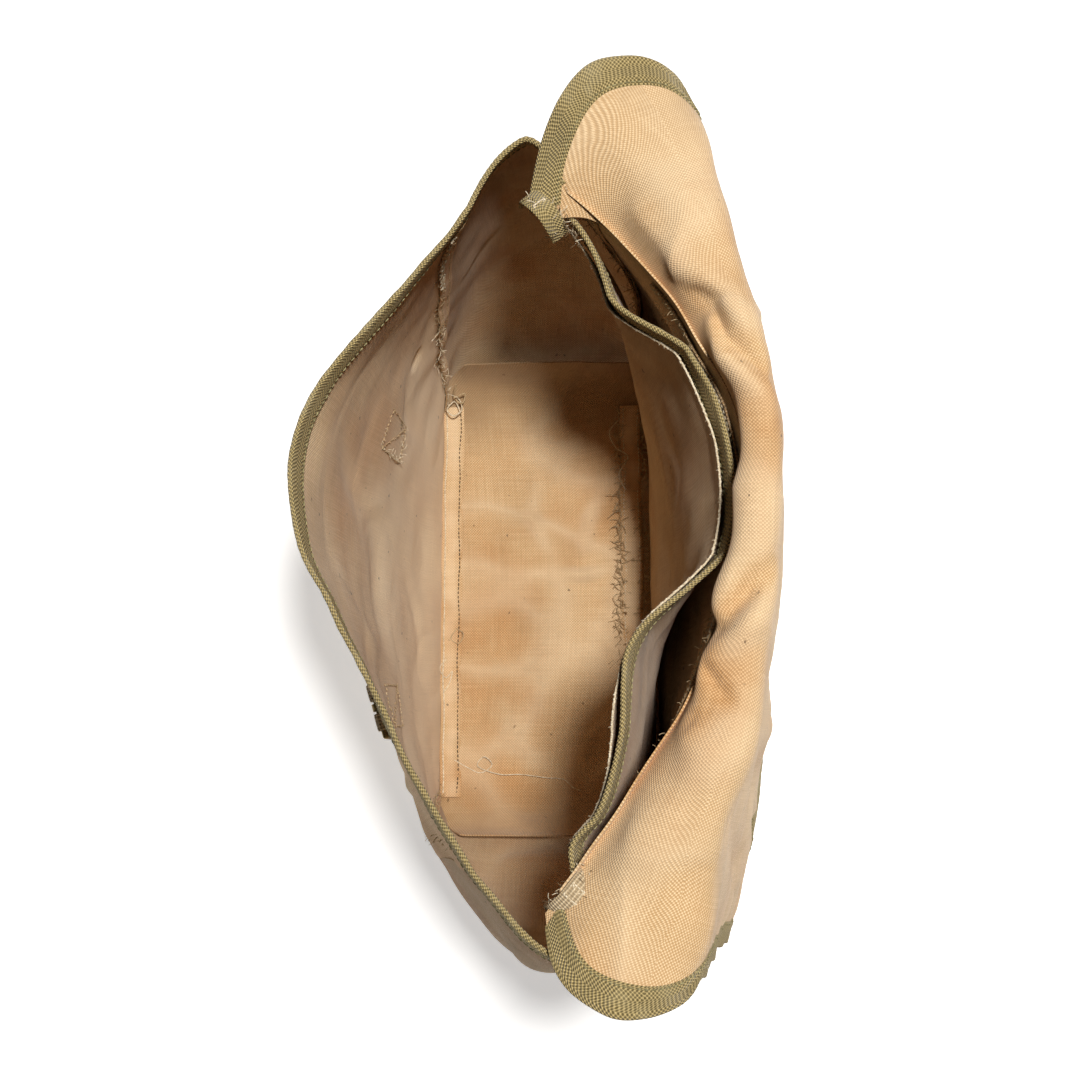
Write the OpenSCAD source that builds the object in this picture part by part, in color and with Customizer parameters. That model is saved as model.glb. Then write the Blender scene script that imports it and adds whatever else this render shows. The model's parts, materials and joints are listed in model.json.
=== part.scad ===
// Canvas mail satchel: an open boxy bag with a divider pocket and a full-width flap thrown back over the rear.
// Millimetres. X runs along the mouth, the front is -Y, Z is up and the origin is under the middle of the base.

/* [Bag] */
// Length of the flat base
base_l = 300; // [240:1:360]
// Depth of the flat base
base_d = 140; // [110:1:175]
// Height of the mouth's rim above the ground
bag_h = 265; // [258:1:320]
// How far the gussets bulge past the ends of the base
gusset_bulge = 46; // [30:1:60]
// Half the length of the open mouth
mouth_half = 183; // [150:1:225]
// How far the front rim is drawn out from the middle
mouth_front = 108; // [80:1:114]
// How far the back panel's top leans out from the middle
mouth_back = 98; // [80:1:104]
// Thickness of every canvas panel
canvas_t = 1.5; // [1:0.1:2]

/* [Binding tape] */
// Visible width of the folded tape
tape_w = 13; // [9:0.5:18]
// Thickness of the tape folded over a panel's edge
tape_t = 3; // [2.6:0.1:4]

/* [Flap] */
// Half the width of the flap at its ears
flap_half = 210; // [180:1:250]
// Rise of the roll, where the flap turns over, above the rim
crest_rise = 19; // [16:1:30]
// Height of the flap's free edge above the ground when it is thrown back
hem_gap = 8.5; // [7:0.5:16]
// Room between the mouth's front rim and the closed flap's fold
front_clear = 8.25; // [6:0.25:12]

/* [Webbing and hardware] */
// Distance of each buckle and closing strap from the middle
strap_x = 77; // [55:1:100]
// Width of the webbing
web_w = 25; // [20:1:32]
// Thickness of the webbing
web_t = 1.6; // [1.2:0.1:2.4]
// Free length of a closing strap
strap_l = 54; // [44:1:66]
// Room between a closed strap's tip and the bar of its buckle
buckle_gap = 14; // [12:1:30]
// Distance of each carrying ring from the middle
ring_x = 118; // [100:1:130]
// Depth of the bar of each carrying ring below the rim
ring_drop = 39; // [30:1:60]
// Radius of the wire in the rings and buckles
wire_r = 1.6; // [1.2:0.1:2]

/* [Hidden] */
$fn = 32;

canvas = [0.86, 0.73, 0.54];
tape = [0.55, 0.52, 0.36];
webbing = [0.72, 0.63, 0.45];
metal = [0.42, 0.36, 0.24];

running_gap = 0.05;      // radial clearance of a bar in its ring
rest_gap = 0.8;          // air between pieces that only lie near each other
lap = 1;                 // canvas held inside its tape
seam_bite = 0.25;        // the base's edge is sewn this far into the panels round it
peak_x = -25;            // where the mouth is drawn out furthest
foot = 1;                // panels start this far above the ground, on the base's own thickness
corner_r = 20;           // plan radius of the base's corners
front_end_y = -3;        // where the front rim's straight sides aim, at the ends of the mouth
fold_back = [3, 15];     // how far behind its seams' middle the left and right gussets fold at the mouth
back_seam_x = 158;       // mouth ends of the back seams
back_seam_y = 12;
hinge_gap = 2;           // from the flap's outer face to the axis it turns on
seg_u = 20;              // facets along a panel
seg_v = 8;               // facets up a panel

// ---------- curves ----------
function mix(a, b, t) = a + (b - a) * t;
function pick(list, side) = list[side < 0 ? 0 : 1];
function ease(t) = let(c = min(max(t, 0), 1)) c * c * (3 - 2 * c);
function hump(t, p) = 1 - pow(min(abs(t), 1), p);
function bezier(k, t) = k[0] * pow(1 - t, 3) + 3 * k[1] * t * pow(1 - t, 2) + 3 * k[2] * t * t * (1 - t) + k[3] * pow(t, 3);
// 1 at the peak, 0 at the ends, with nearly straight sides
function tent(t, soft) = 1 - (sqrt(t * t + soft * soft) - soft) / (sqrt(1 + soft * soft) - soft);
function side_t(x, half) = x < peak_x ? (peak_x - x) / (half + peak_x) : (x - peak_x) / (half - peak_x);

front_half = base_l / 2 + 3;
function front_rim_y(x) = mix(front_end_y, -mouth_front, tent(side_t(x, mouth_half), 0.3));
function back_rim_y(x) = mix(back_seam_y - 6, mouth_back, hump(side_t(x, back_seam_x + 10), 1.8));
function divider_rim_y(x) = let(q = x / mouth_half)
    8 + 34 * hump(x / (back_seam_x + 2), 5)
    + (mouth_back - 47) * ease((q + 0.60) / 0.165) * (1 - pow((q + 0.12) / 0.6, 2) ) * (1 - ease((q - 0.055) / 0.30));

// ---------- panels as surfaces: u runs along the panel, v runs up it ----------
function seam_x(v) = bezier([base_l / 2 - corner_r, base_l / 2 + 6, base_l / 2, front_half], v);
function front_at(u, v) = let(t = 2 * u - 1, x = t * front_half, h = hump(t, 2.2))
    [t * seam_x(v),
     bezier([-base_d / 2, -(base_d / 2 - 8 + 26 * h), -(base_d / 2 - 15 + 42 * h), front_rim_y(x)], v),
     bezier([foot, bag_h * 0.26, bag_h * 0.64, bag_h], v)];
function back_at(u, v) = let(t = 2 * u - 1, x = t * back_seam_x, h = hump(t, 2))
    [t * bezier([base_l / 2 - corner_r, base_l / 2 + 6, base_l / 2 + 4, back_seam_x], v),
     bezier([base_d / 2, base_d / 2 - 6 + 10 * h, base_d / 2 - 14 + 34 * h, back_rim_y(x)], v),
     bezier([foot, bag_h * 0.26, bag_h * 0.64, bag_h + 2], v)];
// side is -1 for the left gusset and 1 for the right; u runs from the front seam to the back seam
function gusset_at(side, u, v) = let(t = 2 * u - 1, f = front_at(side < 0 ? 0 : 1, v), b = back_at(side < 0 ? 0 : 1, v),
        h = hump(t, 1.7 + 7 * pow(1 - v, 3)), out = bezier([corner_r, 50, gusset_bulge + 24, mouth_half - front_half], v))
    [mix(f.x, b.x, u) + side * out * h, mix(f.y, b.y, u) + pick(fold_back, side) * h * v * v, mix(f.z, b.z, u)];
// the rim from the left back seam round the front to the right back seam, w from 0 to 3
function rim_at(w, v) = w <= 1 ? gusset_at(-1, 1 - w, v) : w <= 2 ? front_at(w - 1, v) : gusset_at(1, w - 2, v);

divider_half = back_seam_x - 4;
divider_z = bag_h - 6;
function divider_at(u, v) = let(t = 2 * u - 1, x = t * divider_half, h = hump(t, 2))
    [t * bezier([base_l / 2 - corner_r - 6, base_l / 2 - 4, base_l / 2 - 2, divider_half], v),
     bezier([base_d / 2 - 4, base_d / 2 - 12 + 9 * h, base_d / 2 - 26 + 28 * h, min(divider_rim_y(x), back_rim_y(x) - 6)], v),
     bezier([foot + 0.4, bag_h * 0.26, bag_h * 0.64, divider_z], v)];
pocket_gap = 4;
pocket_inset = 0.035;              // the pocket stops short of the corner tabs by this share of the divider
function pocket_at(u, v) = divider_at(mix(pocket_inset, 1 - pocket_inset, u), mix(0.3, 0.965, v)) - [0, pocket_gap, 0];

// ---------- the flap ----------
crest_h = bag_h + crest_rise;
peak_z = crest_h - canvas_t / 2;
crest_edge_z = crest_h - 12;       // where the roll ends and the hanging canvas starts
outer_peak_y = mouth_back + 14;
function outer_y(x) = outer_peak_y - 45 * (1 - hump(side_t(x, flap_half), 1.7));
function crest_at(u, v) = let(t = 2 * u - 1)
    [bezier([t * (back_seam_x + 10), t * (flap_half + 14), t * (flap_half + 10), t * (flap_half - 12)], v),
     bezier([back_rim_y(t * (back_seam_x + 10)) + 0.5, back_rim_y(t * back_seam_x) - 7, outer_y(t * flap_half) + 2,
         outer_y(t * (flap_half - 12))], v),
     bezier([bag_h + 1.5, peak_z + 5, peak_z + 6, crest_edge_z], v)];

hinge_y = outer_peak_y + canvas_t / 2 + hinge_gap;
hinge_z = crest_h + hinge_gap + canvas_t;
fold_z = hinge_z - (hinge_y + mouth_front + front_clear);
flap_drop = fold_z - hem_gap;      // canvas that hangs down the front when the flap is closed
flap_lean = 16;                    // how far the hanging canvas leans out by the fold
fold_y = outer_peak_y + flap_lean;
function upper_at(u, v) = let(t = 2 * u - 1, top = crest_at(u, 1), dip = 14 * pow(abs(t), 3))
    [mix(t * (flap_half - 5), top.x, v), mix(fold_y - dip, top.y, v), mix(fold_z + 0.4, top.z - rest_gap, v)];
edge_lean = 6;
function lower_at(u, v) = let(t = 2 * u - 1, dip = 14 * pow(abs(t), 3))
    [t * (flap_half - 5), mix(fold_y + edge_lean, fold_y, v) - dip, mix(hem_gap, fold_z - 0.4, v)];

// ---------- a sheet of even thickness laid over a grid of points ----------
function unit(a) = a / norm(a);
function slope_u(g, i, j) = g[min(i + 1, len(g) - 1)][j] - g[max(i - 1, 0)][j];
function slope_v(g, i, j) = g[i][min(j + 1, len(g[0]) - 1)] - g[i][max(j - 1, 0)];
function normal_at(g, i, j) = unit(cross(slope_u(g, i, j), slope_v(g, i, j)));

module sheet(g, t) {
    nu = len(g) - 1;
    nv = len(g[0]) - 1;
    count = (nu + 1) * (nv + 1);
    pts = [for (s = [0.5, -0.5]) for (i = [0:nu]) for (j = [0:nv]) g[i][j] + normal_at(g, i, j) * t * s];
    function id(i, j, k) = k * count + i * (nv + 1) + j;
    faces = [
        for (i = [0:nu - 1]) for (j = [0:nv - 1]) each [
            [id(i, j, 0), id(i, j + 1, 0), id(i + 1, j + 1, 0)], [id(i, j, 0), id(i + 1, j + 1, 0), id(i + 1, j, 0)],
            [id(i, j, 1), id(i + 1, j + 1, 1), id(i, j + 1, 1)], [id(i, j, 1), id(i + 1, j, 1), id(i + 1, j + 1, 1)]],
        for (i = [0:nu - 1]) each [
            [id(i, 0, 0), id(i + 1, 0, 0), id(i + 1, 0, 1)], [id(i, 0, 0), id(i + 1, 0, 1), id(i, 0, 1)],
            [id(i + 1, nv, 0), id(i, nv, 0), id(i, nv, 1)], [id(i + 1, nv, 0), id(i, nv, 1), id(i + 1, nv, 1)]],
        for (j = [0:nv - 1]) each [
            [id(0, j + 1, 0), id(0, j, 0), id(0, j, 1)], [id(0, j + 1, 0), id(0, j, 1), id(0, j + 1, 1)],
            [id(nu, j, 0), id(nu, j + 1, 0), id(nu, j + 1, 1)], [id(nu, j, 0), id(nu, j + 1, 1), id(nu, j, 1)]]];
    polyhedron(points = pts, faces = faces, convexity = 6);
}

// share of a panel's height that a length takes up near its top
function top_share(len_mm, height) = 1 - len_mm / height;
rim_height = bag_h * 1.04;

module base_panel() color(canvas)
    linear_extrude(canvas_t) offset(r = corner_r - canvas_t / 2 + seam_bite)
        square([base_l - 2 * corner_r, base_d - 2 * corner_r], center = true);

module front_panel() color(canvas)
    sheet([for (i = [0:seg_u]) [for (j = [0:seg_v]) front_at(i / seg_u, mix(0, top_share(tape_w - lap, rim_height), j / seg_v))]], canvas_t);

module back_panel() color(canvas)
    sheet([for (i = [0:seg_u]) [for (j = [0:seg_v]) back_at(1 - i / seg_u, j / seg_v)]], canvas_t);

module gusset(side) color(canvas) {
    top = top_share(tape_w - lap, rim_height);
    sheet([for (i = [0:10]) [for (j = [0:seg_v]) gusset_at(side, side < 0 ? 1 - i / 10 : i / 10, mix(0, top, j / seg_v))]], canvas_t);
}
module left_gusset() gusset(-1);
module right_gusset() gusset(1);

module mouth_binding() color(tape)
    sheet([for (i = [0:48]) [for (j = [0:2]) rim_at(mix(0.06, 2.94, i / 48), mix(top_share(tape_w, rim_height), 1, j / 2))]], tape_t);

module divider_panel() color(canvas)
    sheet([for (i = [0:28]) [for (j = [0:6]) divider_at(1 - i / 28, mix(0, top_share(tape_w - lap, divider_z), j / 6))]], canvas_t);

module divider_binding() color(tape)
    sheet([for (i = [0:36]) [for (j = [0:2]) divider_at(1 - i / 36, mix(top_share(tape_w, divider_z), 1, j / 2))]], tape_t);

module pocket_panel() color(canvas)
    sheet([for (i = [0:28]) [for (j = [0:4]) pocket_at(1 - i / 28, j / 4)]], canvas_t);

// a reinforcing band sewn inside the back panel, under the roll
module back_stay() color(canvas)
    sheet([for (i = [0:24]) [for (j = [0:2]) back_at(mix(0.86, 0.14, i / 24), mix(0.86, 0.97, j / 2)) - [0, canvas_t + 0.3, 0]]], canvas_t);

// felled seam strips inside the bag where the base meets the front and the back
strip_w = 13;
module seam_strip(y, length) color(canvas)
    translate([-length / 2, y - strip_w / 2, canvas_t]) cube([length, strip_w, canvas_t]);
module front_seam_strip() seam_strip(-base_d / 2 + 7, base_l - 2 * corner_r - 4);
module back_seam_strip() seam_strip(base_d / 2 - 16, base_l - 2 * corner_r - 4);

// a short length of webbing sewn over the inside of each back seam, at the end of the mouth
corner_tab_size = [web_t, 12, 26];
corner_tab_in = 6;
corner_tab_turn = 38;
module corner_tab(side) color(webbing)
    translate(back_at(side < 0 ? 0 : 1, 0.93) - [side * corner_tab_in, 1, 0]) rotate([0, 0, -side * corner_tab_turn])
        cube(corner_tab_size, center = true);
module left_corner_tab() corner_tab(-1);
module right_corner_tab() corner_tab(1);

// ---------- flap pieces ----------
ear_u = (tape_w - lap) / (2 * flap_half);
module flap_crest() color(canvas)
    sheet([for (i = [0:24]) [for (j = [0:6]) crest_at(mix(ear_u, 1 - ear_u, i / 24), j / 6)]], canvas_t);

module ear_binding(u0, u1) color(tape)
    sheet([for (i = [0:2]) [for (j = [0:8]) crest_at(mix(u0, u1, i / 2), j / 8)]], tape_t);
tape_u = tape_w / (2 * flap_half);
module left_ear_binding() ear_binding(0, tape_u);
module right_ear_binding() ear_binding(1 - tape_u, 1);

module flap_upper() color(canvas)
    sheet([for (i = [0:24]) [for (j = [0:6]) upper_at(mix(ear_u, 1 - ear_u, i / 24), j / 6)]], canvas_t);
module upper_binding(u0, u1) color(tape)
    sheet([for (i = [0:2]) [for (j = [0:6]) upper_at(mix(u0, u1, i / 2), mix(0.005, 0.99, j / 6))]], tape_t);
module left_flap_binding() upper_binding(0, tape_u);
module right_flap_binding() upper_binding(1 - tape_u, 1);

module flap_lower() color(canvas)
    sheet([for (i = [0:24]) [for (j = [0:3]) lower_at(mix(ear_u, 1 - ear_u, i / 24), mix((tape_w - lap) / flap_drop, 1, j / 3))]], canvas_t);

// the tape runs down one side of the drop, along its free edge and up the other side
module flap_edge_binding() color(tape) {
    join = tape_w / flap_drop;
    sheet([for (i = [0:24]) [for (j = [0:1]) lower_at(i / 24, mix(0, join, j))]], tape_t);
    for (u = [0, 1 - tape_u])
        sheet([for (i = [0:1]) [for (j = [0:2]) lower_at(u + tape_u * i, mix(join - 0.02, 0.975, j / 2))]], tape_t);
}

// ---------- closing straps ----------
strap_y = fold_y + edge_lean - 14 * pow(strap_x / (flap_half - 5), 3);
strap_axis_y = strap_y - tape_t / 2 - rest_gap - web_t / 2;
strap_axis_z = hem_gap - web_t / 2 - rest_gap;
patch_h = 22;
module strap_patch(side) color(webbing)
    translate([side * strap_x - web_w / 2, strap_y - tape_t / 2 - web_t - 0.6, hem_gap + tape_w + 1])
        rotate([atan(edge_lean / flap_drop), 0, 0]) cube([web_w, web_t, patch_h]);
module left_strap_patch() strap_patch(-1);
module right_strap_patch() strap_patch(1);

hole_r = 2.2;
tip_l = 9;
module closing_strap(side) color(webbing)
    translate([side * strap_x, strap_axis_y, strap_axis_z]) difference() {
        translate([-web_w / 2, -strap_l, -web_t / 2]) cube([web_w, strap_l - 1, web_t]);
        for (k = [1:3]) translate([0, -10 * k, -web_t]) cylinder(r = hole_r, h = 2 * web_t);
    }
module left_strap() closing_strap(-1);
module right_strap() closing_strap(1);
module strap_tip(side) color(metal)
    translate([side * strap_x, strap_axis_y - strap_l, strap_axis_z]) difference() {
        translate([-web_w / 2 - 0.8, -1.2, -web_t / 2 - 0.8]) cube([web_w + 1.6, tip_l, web_t + 1.6]);
        translate([-web_w / 2, 0, -web_t / 2]) cube([web_w, tip_l, web_t]);
    }
module left_strap_tip() strap_tip(-1);
module right_strap_tip() strap_tip(1);

// ---------- places on the bag's outside ----------
loop_r = wire_r + running_gap;
loop_out = loop_r + web_t;
stand_off = loop_out + canvas_t / 2;            // from the middle of the panel to the bar
// height of the closed straps' axis, then of the bars below their tips
closed_z = hinge_z - (fold_y - hinge_y) - (fold_z - strap_axis_z);
buckle_z = closed_z - strap_l - buckle_gap;
ring_z = bag_h - ring_drop;

tab_h = 42;                                     // webbing sewn to the front below each buckle's bar

// how far up the panel a height lies, found by halving
function v_of(z, lo = 0, hi = 1, n = 12) = let(m = (lo + hi) / 2)
    n == 0 ? m : bezier([foot, bag_h * 0.26, bag_h * 0.64, bag_h], m) < z ? v_of(z, m, hi, n - 1) : v_of(z, lo, m, n - 1);
function share_u(side, x, half) = 0.5 + side * x / (2 * half);
function buckle_p(side, du, dz) = front_at(share_u(side, strap_x, front_half) + du, v_of(buckle_z + dz));
function ring_p(side, du, dz) = back_at(share_u(side, ring_x, back_seam_x) + du, v_of(ring_z + dz));
function turn(a, b) = atan2(b.y - a.y, b.x - a.x);
buckle_turn = [for (side = [-1, 1]) turn(buckle_p(side, -0.03, 0), buckle_p(side, 0.03, 0))];
ring_turn = [for (side = [-1, 1]) turn(ring_p(side, -0.03, 0), ring_p(side, 0.03, 0))];
// lean of the panel away from upright, along a fitting's own outward direction
function lean(low, high, angle, out) = atan2(out * (-(high.x - low.x) * sin(angle) + (high.y - low.y) * cos(angle)), high.z - low.z);
buckle_lean = [for (side = [-1, 1]) lean(buckle_p(side, 0, -tab_h), buckle_p(side, 0, 0), pick(buckle_turn, side), -1)];
ring_lean = [for (side = [-1, 1]) lean(ring_p(side, 0, -12), ring_p(side, 0, 12), pick(ring_turn, side), 1)];

// put children at a fitting's bar, with local -Y pointing away from the bag
module at_buckle(side)
    translate(buckle_p(side, 0, 0)) rotate([0, 0, pick(buckle_turn, side)])
        rotate([pick(buckle_lean, side), 0, 0]) translate([0, -stand_off, 0]) children();
module at_ring(side)
    translate(ring_p(side, 0, 0)) rotate([0, 0, pick(ring_turn, side) + 180])
        rotate([pick(ring_lean, side), 0, 0]) translate([0, -stand_off, 0]) children();

// webbing looped round a bar and sewn flat to the bag from z0 to z1; notch leaves room for a prong
module looped_tab(width, z0, z1, notch) {
    ply = web_t - 0.7;                  // thin enough to stay clear of a frame that hangs in front of it
    sunk = 0.4;                         // stitched down this far into the panel
    difference() {
        union() {
            rotate([0, 90, 0]) cylinder(r = loop_out, h = width, center = true);
            translate([-width / 2, loop_out + sunk - ply, z0]) cube([width, ply, z1 - z0]);
        }
        rotate([0, 90, 0]) cylinder(r = loop_r, h = width + 2, center = true);
        if (notch > 0) translate([-notch / 2, -loop_out - 1, -loop_out - 1])
            cube([notch, 2 * loop_out + 2, 2 * loop_out + 2]);
    }
}
buckle_notch = 6;
module buckle_tab(side) color(webbing) at_buckle(side) looped_tab(web_w, -tab_h, 0, buckle_notch);
module left_buckle_tab() buckle_tab(-1);
module right_buckle_tab() buckle_tab(1);
module ring_tab(side) color(webbing) at_ring(side) looped_tab(web_w, 0, 24, 0);
module left_ring_tab() ring_tab(-1);
module right_ring_tab() ring_tab(1);

// a wire bar along X between two points' x values
module bar(x0, x1, z) translate([x0, 0, z]) rotate([0, 90, 0]) cylinder(r = wire_r, h = x1 - x0);
module post(x, z0, z1) translate([x, 0, z0]) cylinder(r = wire_r, h = z1 - z0);

frame_w = web_w + 2 * wire_r + 3;
frame_h = 24;
module buckle_frame(side) color(metal) at_buckle(side) {
    bar(-frame_w / 2, frame_w / 2, 0);
    bar(-frame_w / 2, frame_w / 2, -frame_h);
    for (s = [-1, 1]) {
        post(s * frame_w / 2, -frame_h, 0);
        for (z = [0, -frame_h]) translate([s * frame_w / 2, 0, z]) sphere(r = wire_r);
    }
}
module left_buckle_frame() buckle_frame(-1);
module right_buckle_frame() buckle_frame(1);

prong_r = 1.1;
prong_w = 4;
prong_turn = asin((wire_r + prong_r + 0.1) / (frame_h - 1));
module buckle_prong(side) color(metal) at_buckle(side) {
    rotate([0, 90, 0]) difference() {
        cylinder(r = loop_r + 1.3, h = prong_w, center = true);
        cylinder(r = loop_r, h = prong_w + 1, center = true);
    }
    rotate([-prong_turn, 0, 0]) translate([0, 0, -frame_h - wire_r])
        cylinder(r = prong_r, h = frame_h + wire_r - loop_r - 0.6);
}
module left_buckle_prong() buckle_prong(-1);
module right_buckle_prong() buckle_prong(1);

ring_w = web_w + 2 * wire_r + 2;
module d_ring(side) color(metal) at_ring(side) {
    bar(-ring_w / 2, ring_w / 2, 0);
    for (s = [-1, 1]) translate([s * ring_w / 2, 0, 0]) sphere(r = wire_r);
    rotate([90, 0, 0]) rotate([0, 0, 180]) rotate_extrude(angle = 180) translate([ring_w / 2, 0]) circle(r = wire_r);
}
module left_d_ring() d_ring(-1);
module right_d_ring() d_ring(1);

base_panel();
front_panel();
back_panel();
left_gusset();
right_gusset();
mouth_binding();
divider_panel();
divider_binding();
pocket_panel();
back_stay();
front_seam_strip();
back_seam_strip();
left_corner_tab();
right_corner_tab();
flap_crest();
left_ear_binding();
right_ear_binding();
left_ring_tab();
right_ring_tab();
left_d_ring();
right_d_ring();
left_buckle_tab();
right_buckle_tab();
left_buckle_frame();
right_buckle_frame();
left_buckle_prong();
right_buckle_prong();
flap_upper();
left_flap_binding();
right_flap_binding();
flap_lower();
flap_edge_binding();
left_strap_patch();
right_strap_patch();
left_strap();
right_strap();
left_strap_tip();
right_strap_tip();
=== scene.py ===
import bpy, bmesh, json, math
import numpy as np
from mathutils import Matrix, Vector, noise

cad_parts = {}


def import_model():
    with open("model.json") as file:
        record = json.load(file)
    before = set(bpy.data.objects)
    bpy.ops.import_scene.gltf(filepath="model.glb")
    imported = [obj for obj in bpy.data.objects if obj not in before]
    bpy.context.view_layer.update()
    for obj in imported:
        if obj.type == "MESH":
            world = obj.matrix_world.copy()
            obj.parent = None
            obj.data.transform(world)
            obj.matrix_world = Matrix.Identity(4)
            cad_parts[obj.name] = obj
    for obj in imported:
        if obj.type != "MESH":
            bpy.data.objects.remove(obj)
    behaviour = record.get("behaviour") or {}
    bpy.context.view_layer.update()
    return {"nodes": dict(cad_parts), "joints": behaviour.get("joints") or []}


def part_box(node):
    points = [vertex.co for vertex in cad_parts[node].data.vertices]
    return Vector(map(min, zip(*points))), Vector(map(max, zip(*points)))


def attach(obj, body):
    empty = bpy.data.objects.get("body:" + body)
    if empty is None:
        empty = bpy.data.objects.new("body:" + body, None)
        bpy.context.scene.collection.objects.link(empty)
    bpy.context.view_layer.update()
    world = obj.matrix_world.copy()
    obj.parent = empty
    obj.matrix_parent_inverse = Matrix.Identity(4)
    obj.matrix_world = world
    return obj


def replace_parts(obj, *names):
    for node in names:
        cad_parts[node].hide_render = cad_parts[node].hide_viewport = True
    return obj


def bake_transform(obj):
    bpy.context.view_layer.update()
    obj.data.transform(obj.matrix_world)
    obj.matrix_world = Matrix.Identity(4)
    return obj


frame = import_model()
mm = 0.001

# ---------- camera, lights and floor ----------
shot = {"place": (0.107, 0.027, 0.840), "aim": (0.0078, 0.0045, 0.265), "picture": 1080, "focal": 1304, "sensor": 36.0}


def placeCamera():
    data = bpy.data.cameras.new("camera")
    data.sensor_width = shot["sensor"]
    data.lens = shot["sensor"] * shot["focal"] / shot["picture"]
    data.clip_start = 0.01
    camera = bpy.data.objects.new("camera", data)
    bpy.context.collection.objects.link(camera)
    place = Vector(shot["place"])
    back = (place - Vector(shot["aim"])).normalized()
    right = Vector((-1, 0, 0)).cross(back).normalized()  # the mouth's long axis stands upright in the view
    up = back.cross(right)
    turn = Matrix((right, up, back)).transposed()
    camera.matrix_world = Matrix.Translation(place) @ turn.to_4x4()
    bpy.context.scene.camera = camera


studio = {"keyPlace": (-0.10, 0.27, 1.75), "keySize": 0.24, "keyPower": 31, "fillPlace": (-0.9, -0.9, 1.5),
          "fillSize": 1.4, "fillPower": 0.4, "world": 0.02, "floorHalf": 6.0, "floorGlow": 0.50}


def addLight(name, place, size, power, colour):
    data = bpy.data.lights.new(name, "AREA")
    data.shape = "DISK"
    data.size = size
    data.energy = power
    data.color = colour
    lamp = bpy.data.objects.new(name, data)
    bpy.context.collection.objects.link(lamp)
    lamp.location = place
    lamp.rotation_euler = (Vector((0, 0, 0.1)) - Vector(place)).to_track_quat("-Z", "Y").to_euler()


def buildStudio():
    addLight("keyLight", studio["keyPlace"], studio["keySize"], studio["keyPower"], (1.0, 0.985, 0.96))
    addLight("fillLight", studio["fillPlace"], studio["fillSize"], studio["fillPower"], (0.96, 0.98, 1.0))
    world = bpy.data.worlds.new("studioWorld")
    bpy.context.scene.world = world
    world.use_nodes = True
    world.node_tree.nodes["Background"].inputs["Color"].default_value = (1, 1, 1, 1)
    world.node_tree.nodes["Background"].inputs["Strength"].default_value = studio["world"]
    seen = world.node_tree.nodes.new("ShaderNodeBackground")  # the backdrop looks pale but hardly lights the bag
    seen.inputs["Color"].default_value = (0.92, 0.92, 0.92, 1)
    which = world.node_tree.nodes.new("ShaderNodeLightPath")
    mixed = world.node_tree.nodes.new("ShaderNodeMixShader")
    out = world.node_tree.nodes["World Output"]
    for source, target in ((which.outputs["Is Camera Ray"], mixed.inputs[0]), (seen.outputs[0], mixed.inputs[2]),
                           (world.node_tree.nodes["Background"].outputs[0], mixed.inputs[1]),
                           (mixed.outputs[0], out.inputs["Surface"])):
        world.node_tree.links.new(source, target)
    half = studio["floorHalf"]
    mesh = bpy.data.meshes.new("floor")
    mesh.from_pydata([(-half, -half, 0), (half, -half, 0), (half, half, 0), (-half, half, 0)], [], [(0, 1, 2, 3)])
    floor = bpy.data.objects.new("floor", mesh)
    bpy.context.collection.objects.link(floor)
    paint = bpy.data.materials.new("paleFloor")
    paint.use_nodes = True
    shader = paint.node_tree.nodes["Principled BSDF"]
    shader.inputs["Base Color"].default_value = (0.93, 0.93, 0.93, 1)
    shader.inputs["Roughness"].default_value = 0.9
    shader.inputs["Emission Color"].default_value = (1, 1, 1, 1)
    shader.inputs["Emission Strength"].default_value = studio["floorGlow"]
    mesh.materials.append(paint)
    bpy.context.scene.view_settings.view_transform = "Standard"


placeCamera()
buildStudio()
print("studio ready")


# ---------- shader maths ----------
class Maths:
    def __init__(self, paint, socket):
        self.paint, self.socket = paint, socket

    def _do(self, operation, a, b=None, c=None):
        ins = {i: x for i, x in enumerate((a, b, c)) if x is not None}
        return self.paint.node("ShaderNodeMath", {"operation": operation}, ins)

    def __add__(self, other): return self._do("ADD", self, other)
    def __radd__(self, other): return self._do("ADD", other, self)
    def __sub__(self, other): return self._do("SUBTRACT", self, other)
    def __rsub__(self, other): return self._do("SUBTRACT", other, self)
    def __mul__(self, other): return self._do("MULTIPLY", self, other)
    def __rmul__(self, other): return self._do("MULTIPLY", other, self)
    def __truediv__(self, other): return self._do("DIVIDE", self, other)
    def __pow__(self, other): return self._do("POWER", self, other)
    def sin(self): return self._do("SINE", self)
    def abs(self): return self._do("ABSOLUTE", self)
    def floor(self): return self._do("FLOOR", self)
    def fract(self): return self._do("FRACT", self)
    def least(self, other): return self._do("MINIMUM", self, other)
    def most(self, other): return self._do("MAXIMUM", self, other)

    def ease(self, low, high):  # 0 below low, 1 above high, smooth between
        return self.paint.node("ShaderNodeMapRange", {"interpolation_type": "SMOOTHSTEP"},
                               {"Value": self, "From Min": low, "From Max": high})


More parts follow.
